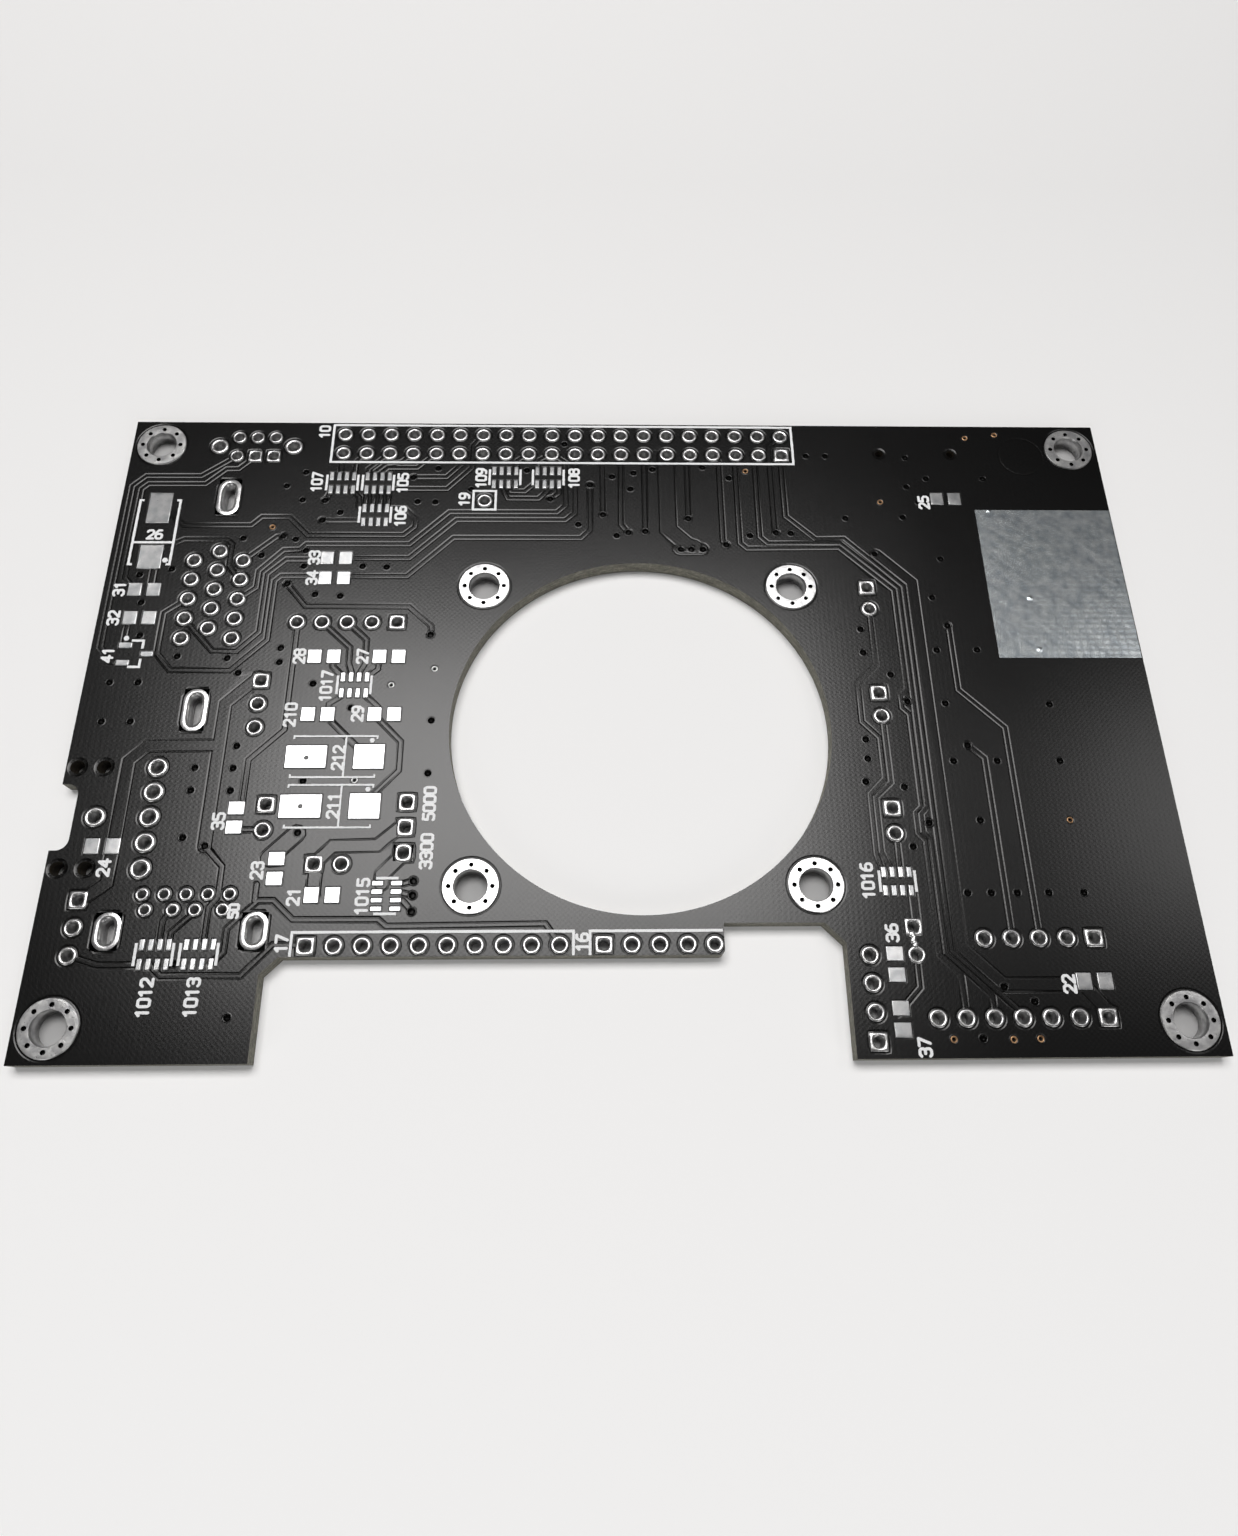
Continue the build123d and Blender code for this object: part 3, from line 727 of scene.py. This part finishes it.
# A faint round line pressed into the mask near the far right corner
faint = {"x": 44.65, "y": 30.15, "r": 2.45, "step": 0.12, "depth": 0.03}
for step in (-faint["step"], 0.0, faint["step"]):
    drawn.append(circle(faint["x"], faint["y"], faint["r"] + step, 48))
for x, y, r in pegs:
    for step in (reliefLook["pegRim"], reliefLook["pegRim"] + 0.08):
        drawn.append(circle(x, y, r + step, 24))
for x, y, w, d in padBoxes:
    for step in (0.01, 0.05, 0.10):
        drawn.append(crispRect(x, y, 2 * (w + step), 2 * (d + step), 0.02 + step))

flat, triangles = triangulate(drawn, outline, roundOpenings + squareOpenings)
away = copperDistance(flat)
height = -reliefLook["depth"] * (0.5 + 0.5 * np.cos(np.pi * np.clip((2 * away - gap) / (gap + 0.04), -1, 1)))
for x, y, w, d in padBoxes:
    beside = boxDistance(np.abs(flat - np.array([x, y])) - np.array([w, d]), 1)
    sunk = -reliefLook["padDepth"] * np.clip(1 - np.abs(beside - 0.045) / 0.04, 0, 1)
    height = np.where(beside < 0.09, np.minimum(height, sunk), height)
for x, y in dimples:
    r = np.hypot(flat[:, 0] - x, flat[:, 1] - y)
    sunk = -reliefLook["dimpleDepth"] * np.clip(1 - (r - well) / (bowl - well), 0, 1)
    raised = reliefLook["rimHeight"] * np.clip(1 - np.abs(r - (bowl + rim) / 2) / (rim - bowl) * 2, 0, 1)
    height = np.where(r < rim - 0.001, np.where(r < bowl, sunk, raised), height)
for x, y, r in pegs:
    away = np.hypot(flat[:, 0] - x, flat[:, 1] - y) - r
    height = np.where(away < reliefLook["pegRim"] + 0.04, -reliefLook["pegDepth"], height)
away = np.abs(np.hypot(flat[:, 0] - faint["x"], flat[:, 1] - faint["y"]) - faint["r"])
height = np.where(away < 0.05, -faint["depth"], height)
used = sorted({i for t in triangles for i in t})
renumber = {old: new for new, old in enumerate(used)}
topVerts = [(flat[i][0], flat[i][1], outlineZ + height[i]) for i in used]
topFaces = [tuple(renumber[i] for i in t) for t in triangles]
print("upper face points", len(topVerts), "triangles", len(topFaces))

# Walls of the outline and of the unplated openings
wallHeights = [0.0, underZ, outlineZ - underZ, outlineZ]
wallVerts, wallFaces = [], []
for loop in (outline, circle(fanX, fanY, fanR, sidesFor(fanR))):
    skin(wallVerts, wallFaces, [loop] * 4, wallHeights)
pegVerts, pegFaces = [], []
for x, y, r in pegs:
    skin(pegVerts, pegFaces, [circle(x, y, r, sidesFor(r))] * 4, wallHeights)

# The underside has the same openings, apart from those of the flat pads
underOpenings = roundOpenings + [rectangle(*box) for box in
                                 boxes + [(*bridgeTop, bridge["opening"], bridge["opening"])]]
flatUnder, underTriangles = triangulate([outline] + underOpenings, outline, underOpenings)
underFaces = [(a, c, b) for a, b, c in underTriangles]
underVerts = [(x, y, 0.0) for x, y in flatUnder]

board = addMesh("board_upper_mask", topVerts, topFaces, mask, stand=["board"])
# Only the rounded grooves and dimples are shaded smooth; the flat mask between them stays flat
for poly in board.data.polygons:
    corners = [board.data.vertices[i].co / mm for i in poly.vertices]
    longest = max((a - b).length for a, b in zip(corners, corners[1:] + corners[:1]))
    thin = 2 * poly.area / mm / mm / longest < 0.2
    poly.use_smooth = thin and max(abs(c.z - outlineZ) for c in corners) > 0.003
addMesh("board_edge_laminate", wallVerts, wallFaces, laminate, stand=["board"])
# The peg walls carry the painted shade of the holes
addMesh("board_peg_walls", pegVerts, pegFaces, drilled, smooth=True, stand=["board"])
addMesh("board_under_mask", underVerts, underFaces, mask, stand=["board"])
print("board made")


def addTin(name, verts, faces, material=tin):
    addMesh(name + "_tin", verts, faces, material, smooth=True, stand=[name])


# Heights of a plated land above the top of the board, from its hole out to its edge
landLook = {
    "inHole": -0.06,
    "inner": 0.028,
    "crest": 0.050,
    "crestWander": 0.006,
    "outer": 0.030,
    "outerWander": 0.004,
    "edge": -0.03,
    "corner": 0.08,       # corner radius of the square lands
    "sides": 32,
}


def addLand(verts, faces, x, y, hole, rim, seed=0.0):
    n = len(rim)
    inner = circle(x, y, hole / 2, n)

    def blend(t):
        return [(a[0] * (1 - t) + b[0] * t, a[1] * (1 - t) + b[1] * t) for a, b in zip(inner, rim)]

    def wavy(z, amount):
        return [z + amount * noiseAt(px * 3, py * 3, seed) for px, py in rim]

    loopsHere = [blend(1.0), blend(0.93), blend(0.5), blend(0.12), inner, inner, blend(0.12), blend(0.5),
                 blend(0.85), blend(1.0)]
    look = landLook
    heights = [underZ, 0.012, 0.0, 0.012, 0.06, topZ + look["inHole"], topZ + look["inner"],
               wavy(topZ + look["crest"], look["crestWander"]), wavy(topZ + look["outer"], look["outerWander"]),
               topZ + look["edge"]]
    skin(verts, faces, loopsHere, heights)


def squareRim(x, y, w, d, corner=landLook["corner"]):
    return softRect(x, y, w, d, corner, landLook["sides"])


seed = 0.0
for name, group in lands.items():
    verts, faces = [], []
    for q in group:
        seed += 1.3
        size = q["d"]
        hole = q["hole"] * math.cos(math.pi / 6)
        rim = squareRim(q["x"], q["y"], size, size)
        if isRound(q):
            rim = circle(q["x"], q["y"], size / 2, landLook["sides"])
        addLand(verts, faces, q["x"], q["y"], hole, rim, seed)
    addTin(name, verts, faces)

# The jumper's lands are oblong, the last one with rounder corners
jumper = {"width": 1.55, "depth": 1.8, "hole": 1.0, "corners": (0.08, 0.08, 0.45)}
verts, faces = [], []
for k, (q, corner) in enumerate(zip(jumperLands, jumper["corners"])):
    rim = squareRim(q["x"], q["y"], jumper["width"], jumper["depth"], corner)
    addLand(verts, faces, q["x"], q["y"], jumper["hole"], rim, k)
addTin("jumper_lands", verts, faces)

verts, faces = [], []
addLand(verts, faces, *bridgeTop, bridge["hole"], squareRim(*bridgeTop, bridge["land"], bridge["land"]), 3)
addLand(verts, faces, *bridgeLow, bridge["hole"], circle(*bridgeLow, bridge["round"], landLook["sides"]), 4)
neck = bridge["neck"]
for (x1, y1, r1), (x2, y2, r2) in zip(neck, neck[1:]):
    for t in (0.0, 0.5):
        x, y, r = x1 + t * (x2 - x1), y1 + t * (y2 - y1), r1 + t * (r2 - r1)
        skin(verts, faces, [circle(x, y, r * part, 32) for part in (1.0, 0.8, 0.4)],
             [topZ - 0.03, topZ + 0.06, topZ + 0.11], tip=topZ + 0.12)
addTin("bridged_pair_lands", verts, faces)

slotLook = {"rim": 0.58, "crest": 0.045, "sides": 40}
verts, faces = [], []
for q in slotLands:
    rim = oval(q["x"], q["y"], q["w"], q["d"], slotLook["sides"])
    inner = oval(q["x"], q["y"], q["w"] - 2 * slotLook["rim"], q["d"] - 2 * slotLook["rim"], slotLook["sides"])
    mid = [((a[0] + b[0]) / 2, (a[1] + b[1]) / 2) for a, b in zip(rim, inner)]
    skin(verts, faces, [rim, mid, inner, inner, mid, rim],
         [underZ, 0.0, 0.05, topZ - 0.03, topZ + slotLook["crest"], topZ - 0.03])
addTin("slot_lands", verts, faces)

screwLook = {
    "smallHoles": 8,
    "smallHole": 0.46,
    "onRadius": 2.03,        # circle on which the small holes stand
    "hole": 1.55,
    "flatFrom": 1.62,        # the flat ring starts here
    "flatRim": 0.07,         # and ends this far inside the land's edge
    "high": 0.03,
    "low": 0.025,            # at both edges of the flat ring
    "wander": 0.006,
    "lip": 0.012,            # the raised lip of each small hole
    "sides": 48,
    "padHoles": [(-30.55, -5.9), (-30.6, -10.85)],   # tiny holes in two of the large pads
}


# The flat ring of a screw land, cut out round its small holes
def addScrewRing(verts, faces, cx, cy, r, spots, seed):
    look = screwLook
    small = look["smallHole"] / 2
    rings = [circle(cx, cy, look["flatFrom"], look["sides"]), circle(cx, cy, r - look["flatRim"], look["sides"])]
    rings += [circle(cx, cy, s, 32, 0.05) for s in (1.78, 2.3)]
    rings += [circle(x, y, small, 14) for x, y in spots]
    rings += [circle(x, y, small + 0.08, 14) for x, y in spots]
    flatRing, cells = triangulate(rings, rings[1], rings[:1] + rings[4:4 + len(spots)])
    base = len(verts)
    for px, py in flatRing:
        out = math.hypot(px - cx, py - cy)
        lip = min(math.hypot(px - x, py - y) for x, y in spots) < 0.2
        z = topZ + look["high"] + look["wander"] * noiseAt(px * 2, py * 2, seed) + (look["lip"] if lip else 0.0)
        if out > r - 0.1 or out < look["flatFrom"] + 0.03:
            z = topZ + look["low"]
        verts.append((px, py, z))
    faces += [tuple(base + i for i in cell) for cell in cells]


# Dark pieces of mask stand in for the shade inside small holes: a black cone down each small hole round the screw
# lands, and a small dark disc over each pad hole. This is painted shade.
shadeWellVerts, shadeWellFaces = [], []
for x, y in screwLook["padHoles"]:
    skin(shadeWellVerts, shadeWellFaces, [circle(x, y, r, 14) for r in (0.24, 0.15, 0.13)],
         [topZ + 0.05, topZ + 0.056, topZ + 0.048], tip=topZ + 0.046)
hole, low, small = screwLook["hole"], topZ + screwLook["low"], screwLook["smallHole"] / 2
for name, group in screwLands.items():
    verts, faces = [], []
    for k, (cx, cy, r) in enumerate(roundOnes(group)):
        barrel = (r, r - 0.1, hole + 0.1, hole, hole, screwLook["flatFrom"])
        skin(verts, faces, [circle(cx, cy, s, screwLook["sides"]) for s in barrel],
             [underZ, 0.0, 0.0, 0.06, topZ - 0.05, low])
        skin(verts, faces, [circle(cx, cy, s, screwLook["sides"]) for s in (r - screwLook["flatRim"], r)],
             [low, topZ - 0.03])
        spots = circle(cx, cy, screwLook["onRadius"], screwLook["smallHoles"])
        addScrewRing(verts, faces, cx, cy, r, spots, k)
        for x, y in spots:
            # A black cone of mask down the small hole: painted shade
            skin(shadeWellVerts, shadeWellFaces, [circle(x, y, small, 14), circle(x, y, small * 0.8, 14)],
                 [topZ + 0.035, topZ - 0.35], tip=topZ - 0.4)
    addTin(name, verts, faces)
addMesh("hole_wells_painted_shade", shadeWellVerts, shadeWellFaces, mask)

padLook = {
    "height": 0.045,
    "bevel": 0.05,
    "corner": 0.04,
    "roll": 0.0025,       # how uneven the flat top is
}
for name, group in pads.items():
    verts, faces = [], []
    for q in group:
        seed += 0.7
        small = min(q["w"], q["d"])
        crest = topZ + padLook["height"]
        bevel = min(padLook["bevel"], 0.14 * small)
        cuts = [0.0, 0.02, bevel, bevel + 0.03, 0.36 * small]
        rings = [crispRect(q["x"], q["y"], q["w"] - 2 * cut, q["d"] - 2 * cut, padLook["corner"]) for cut in cuts]
        heights = [topZ - 0.03, crest - 0.02]
        for k in (2, 3, 4):
            heights.append([crest + padLook["roll"] * noiseAt(px * 2, py * 2, seed + k) for px, py in rings[k]])
        skin(verts, faces, rings, heights, tip=crest)
    addTin(name, verts, faces, flatTin)
print("lands and pads made")

# Plating showing round some of the small holes: bright tin on the first list, bare copper on the second
brightRings = [(-18.8, 3.7), (-23.0, 1.9), (-25.75, -8.2)]
copperRings = [(42.7, -12.4), (-36.9, 20.5), (13.8, 28.0), (28.3, 24.0), (38.75, 32.65), (42.15, 33.1),
               (28.8, -32.65), (34.1, -32.7), (36.5, -32.65)]
for name, spots, material in (("bright_rings", brightRings, tin), ("copper_rings", copperRings, copper)):
    verts, faces = [], []
    for x, y in spots:
        skin(verts, faces, [circle(x, y, r, 16) for r in (0.34, 0.29, 0.20, 0.17)],
             [topZ - 0.03, topZ + 0.02, topZ + 0.015, topZ - 0.12])
    addMesh(name, verts, faces, material, smooth=True)

# The printed outlines, cut finer so that their edges can wander a little
for name in [n for n in nodes if n.endswith(("_outline", "_outlines"))]:
    work = bmesh.new()
    work.from_mesh(nodes[name].data)
    for _ in range(5):
        long = [e for e in work.edges if e.calc_length() > inkLook["longest"] * mm]
        if not long:
            break
        bmesh.ops.subdivide_edges(work, edges=long, cuts=1)
    bmesh.ops.triangulate(work, faces=work.faces)
    for v in work.verts:
        v.co.x += inkLook["ragged"] * mm * noiseAt(v.co.x / mm * 6, v.co.y / mm * 6, 1)
        v.co.y += inkLook["ragged"] * mm * noiseAt(v.co.x / mm * 6, v.co.y / mm * 6, 2)
    verts = [(v.co.x / mm, v.co.y / mm, v.co.z / mm) for v in work.verts]
    faces = [tuple(v.index for v in f.verts) for f in work.faces]
    work.free()
    addMesh(name + "_print", verts, faces, ink, stand=[name])

# Plain numbers as the machine prints them, one row of strokes for each digit
strokes = {
    "0": [[(.1, 0), (.5, 0), (.62, .15), (.62, .85), (.5, 1), (.1, 1), (0, .85), (0, .15), (.1, 0)]],
    "1": [[(.1, .78), (.34, 1), (.34, 0)]],
    "2": [[(0, .82), (.14, 1), (.48, 1), (.62, .85), (.62, .6), (0, 0), (.62, 0)]],
    "3": [[(0, .88), (.14, 1), (.48, 1), (.62, .86), (.62, .66), (.5, .53), (.22, .53)],
          [(.5, .53), (.62, .4), (.62, .14), (.48, 0), (.14, 0), (0, .12)]],
    "4": [[(.46, 0), (.46, 1), (0, .3), (.66, .3)]],
    "5": [[(.6, 1), (.06, 1), (.03, .58), (.46, .58), (.62, .44), (.62, .14), (.48, 0), (.12, 0), (0, .1)]],
    "6": [[(.55, 1), (.25, 1), (0, .65), (0, .15), (.14, 0), (.48, 0), (.62, .15), (.62, .42), (.48, .56),
           (.14, .56), (0, .44)]],
    "7": [[(0, 1), (.62, 1), (.2, 0)]],
    "8": [[(.14, .54), (0, .68), (0, .86), (.14, 1), (.48, 1), (.62, .86), (.62, .68), (.48, .54), (.14, .54),
           (0, .4), (0, .14), (.14, 0), (.48, 0), (.62, .14), (.62, .4), (.48, .54)]],
    "9": [[(.07, 0), (.37, 0), (.62, .35), (.62, .85), (.48, 1), (.14, 1), (0, .85), (0, .58), (.14, .44),
           (.48, .44), (.62, .56)]],
}
numberLook = {
    "height": 1.02,
    "width": 0.27,        # of a stroke
    "digit": 0.62,        # width of a digit, against its height
    "step": 0.8624,       # from one digit to the next, against the height
    "stack": 0.0007,      # each stroke lies a little above the one before
    "small": {"50": 0.8},
    "upright": "26",      # all other numbers are turned
}
# Middle of each number and what it reads
numbers = [
    (-32.6, 33.0, "10"), (-32.8, 26.3, "107"), (-23.55, 26.2, "105"), (-23.5, 21.9, "106"), (-15.1, 26.9, "109"),
    (-5.0, 26.9, "108"), (-16.8, 24.1, "19"), (-51.65, 12.85, "31"), (-51.65, 9.45, "32"), (-51.5, 5.2, "41"),
    (-32.1, 16.7, "33"), (-32.1, 14.25, "34"), (-32.4, 5.1, "28"), (-26.1, 5.1, "27"), (-29.4, 1.8, "1017"),
    (-32.6, -1.35, "210"), (-26.05, -1.25, "29"), (-27.5, -5.9, "212"), (-27.5, -10.8, "211"), (-33.9, -17.1, "23"),
    (-47.95, -16.8, "24"), (-38.1, -12.3, "35"), (-30.3, -19.6, "21"), (-24.05, -19.6, "1015"),
    (-18.45, -10.6, "5000"), (-18.45, -15.3, "3300"), (-30.9, -23.9, "17"), (-3.9, -23.9, "16"),
    (-35.55, -20.9, "50"), (-42.3, -28.6, "1012"), (-38.2, -28.6, "1013"), (22.6, -18.3, "1016"),
    (24.35, -23.2, "36"), (26.15, -33.3, "37"), (39.85, -27.9, "22"), (33.05, 23.95, "25"), (-49.1, 19.5, "26")
]


# One stroke with round ends
def capsule(verts, faces, a, b, r, z):
    turn = math.atan2(b[1] - a[1], b[0] - a[0])
    ring = [(b[0] + r * math.cos(turn - math.pi / 2 + math.pi * i / 5),
             b[1] + r * math.sin(turn - math.pi / 2 + math.pi * i / 5)) for i in range(6)]
    ring += [(a[0] + r * math.cos(turn + math.pi / 2 + math.pi * i / 5),
              a[1] + r * math.sin(turn + math.pi / 2 + math.pi * i / 5)) for i in range(6)]
    cx, cy = (a[0] + b[0]) / 2, (a[1] + b[1]) / 2
    inner = [(cx + 0.96 * (x - cx), cy + 0.96 * (y - cy)) for x, y in ring]
    skin(verts, faces, [ring, inner], [topZ - 0.025, z], tip=z)


verts, faces = [], []
for x, y, text in numbers:
    tall = numberLook["height"] * numberLook["small"].get(text, 1.0)
    step = numberLook["step"] * tall
    across = step * (len(text) - 1) + numberLook["digit"] * tall
    for j, digit in enumerate(text):
        for path in strokes[digit]:
            spots = []
            for u, v in path:
                px, py = j * step + u * tall - across / 2, (v - 0.5) * tall
                spots.append((x + px, y + py) if text == numberLook["upright"] else (x - py, y + px))
            for m, (a, b) in enumerate(zip(spots, spots[1:])):
                z = topZ + inkLook["rise"] + numberLook["stack"] * (m + j)
                capsule(verts, faces, a, b, numberLook["width"] / 2, z)
addMesh("printed_numbers", verts, faces, ink)
print("print made")

# The bare tinned rectangle: a fine grid with rolled solder, short scratches and three drops
bareLook = {
    "colour": (0.66, 0.70, 0.71),
    "dull": (0.39, 0.435, 0.47),
    "metal": 0.90,
    "rough": 0.24,
    "roughSpread": 0.03,
    "wave": 0.08,
    "grit": 0.0,
    "step": 0.13,                  # of the grid
    "height": 0.016,
    "roll": 0.004,
    "weave": (0.0055, 0.0016),     # the laminate's threads along x and y, printed through towards the near right
    "weavePitch": (0.80, 0.62),
    "dropHeight": 0.09,
    "scratchDepth": 0.004,
    "scratchWidth": 0.10,
    "drops": [(42.75, 12.0, 0.22), (42.8, 5.95, 0.2), (40.0, 22.9, 0.14)],
    "scratches": [((40.1, 11.6), (39.8, 10.4)), ((39.2, 8.6), (39.9, 7.5)), ((41.5, 10.6), (41.2, 10.0)),
                  ((43.2, 11.0), (42.9, 10.0))],
}
bx, by, bw, bd = bareArea["x"], bareArea["y"], bareArea["w"], bareArea["d"]
across, along = int(bw / bareLook["step"]), int(bd / bareLook["step"])
pitchX, pitchY = bareLook["weavePitch"]
weaveX, weaveY = bareLook["weave"]
verts, faces = [], []
for j in range(along + 1):
    for i in range(across + 1):
        x, y = bx - bw / 2 + bw * i / across, by - bd / 2 + bd * j / along
        z = topZ + bareLook["height"]
        z += bareLook["roll"] * (noiseAt(x * 0.8, y * 0.8) + 0.5 * noiseAt(x * 2.9, y * 2.9, 4))
        for dx, dy, r in bareLook["drops"]:
            z += bareLook["dropHeight"] * max(0.0, 1 - (math.hypot(x - dx, y - dy) / r) ** 2)
        for a, b in bareLook["scratches"]:
            lx, ly = b[0] - a[0], b[1] - a[1]
            t = min(max(((x - a[0]) * lx + (y - a[1]) * ly) / (lx * lx + ly * ly), 0), 1)
            if math.hypot(x - a[0] - t * lx, y - a[1] - t * ly) < bareLook["scratchWidth"]:
                z -= bareLook["scratchDepth"]
        worn = max(0.0, min(1.0, 0.3 + (x - bx) / 12 + (by - y) / 14))
        z += worn * weaveX * math.sin(2 * math.pi * x / pitchX)
        z += worn * weaveY * math.sin(2 * math.pi * y / pitchY)
        verts.append((x, y, z))
for j in range(along):
    for i in range(across):
        a = j * (across + 1) + i
        faces.append((a, a + 1, a + across + 2, a + across + 1))
# A short skirt closes the sheet's sides down into the mask
skin(verts, faces, [rectangle(bx, by, bw / 2, bd / 2)] * 2, [topZ - 0.03, topZ + 0.012])
addMesh("bare_tinned_area_sheet", verts, faces, makeTin("tinned sheet", bareLook), smooth=True,
        stand=["bare_tinned_area"])
print("tinned rectangle made")

stageLook = {
    "floorTone": 0.73,
    "floorRough": 0.9,
    "floorHalf": 2000,       # half of the floor's side
    "floorZ": -0.1,
    "floorGlow": 0.12,
    "glowSlope": 0.0016,     # the floor's glow falls off towards the back, for each millimetre
    "glowMost": 0.3,
    "underTone": 0.36,       # the floor's tone in the shade right under the board
    "underZ": -0.05,
    "world": 0.012,
    "lightColour": (1.0, 0.985, 0.975),
}


floorMaterial, tree, shader = newMaterial("pale floor")
spot = newNode(tree, "SeparateXYZ", {0: coordinates(tree)})
fall = maths(tree, "MULTIPLY", spot.outputs["Y"], stageLook["glowSlope"])
glow = clamped(tree, maths(tree, "SUBTRACT", stageLook["floorGlow"], fall), stageLook["glowMost"])
feed(tree, shader, {"Base Color": (stageLook["floorTone"],) * 3 + (1,), "Roughness": stageLook["floorRough"],
                    "Emission Color": (1, 1, 1, 1), "Emission Strength": glow})
half = stageLook["floorHalf"]
floor = newObject("floor", [(x, y, stageLook["floorZ"]) for x, y in rectangle(0, 0, half, half)],
                  [(0, 1, 2, 3)], floorMaterial)

# The floor in the board's own shade: the board's plan without the fan opening
shadeMaterial, tree, shader = newMaterial("shaded floor")
feed(tree, shader, {"Base Color": (stageLook["underTone"],) * 3 + (1,), "Roughness": stageLook["floorRough"]})
fanCircle = circle(fanX, fanY, fanR, 96)
planPoints, planFaces = triangulate([outline, fanCircle], outline, [fanCircle])
shade = newObject("floor_shade", [(x, y, stageLook["underZ"]) for x, y in planPoints], planFaces, shadeMaterial)

world = bpy.data.worlds.new("studio")
world.use_nodes = True
background = world.node_tree.nodes["Background"]
feed(world.node_tree, background, {"Color": (1, 1, 1, 1), "Strength": stageLook["world"]})
bpy.context.scene.world = world

# Soft panels, in metres: place, width, depth and power; the last two look at the board from the near side
panels = {
    "main panel": ((-0.048, 0.174, 0.5), 0.385, 0.24, 2.95),
    "side panel": ((0.402, 0.158, 0.5), 0.156, 0.156, 0.32),
    "front panel -1": ((-0.6, -0.9, 0.5), 0.5, 0.5, 1.5),
    "front panel 1": ((0.6, -0.9, 0.5), 0.5, 0.5, 1.5),
}
for name, (place, width, depth, power) in panels.items():
    light = bpy.data.objects.new(name, bpy.data.lights.new(name, "AREA"))
    light.data.shape = "RECTANGLE"
    light.data.size = width
    light.data.size_y = depth
    light.data.energy = power
    light.data.color = stageLook["lightColour"]
    light.location = place
    if name.startswith("front"):
        light.rotation_euler = (-Vector(place)).to_track_quat("-Z", "Y").to_euler()
    bpy.context.collection.objects.link(light)

cameraLook = {
    "lens": 22.345,
    "sensor": 36,
    "shift": (0.00107, 0.00777),
    "clip": 0.005,
    "place": (-0.0025, -0.040519, 0.087446),
    "turn": (0.359793, -0.018896, -0.009034),
}
camera = bpy.data.objects.new("camera", bpy.data.cameras.new("camera"))
bpy.context.collection.objects.link(camera)
camera.data.lens = cameraLook["lens"]
camera.data.sensor_width = cameraLook["sensor"]
camera.data.shift_x, camera.data.shift_y = cameraLook["shift"]
camera.data.clip_start = cameraLook["clip"]
camera.location = cameraLook["place"]
camera.rotation_euler = cameraLook["turn"]
bpy.context.scene.camera = camera
# The default transform would flatten the dark tones of the mask
bpy.context.scene.view_settings.view_transform = "Standard"
print("stage set")
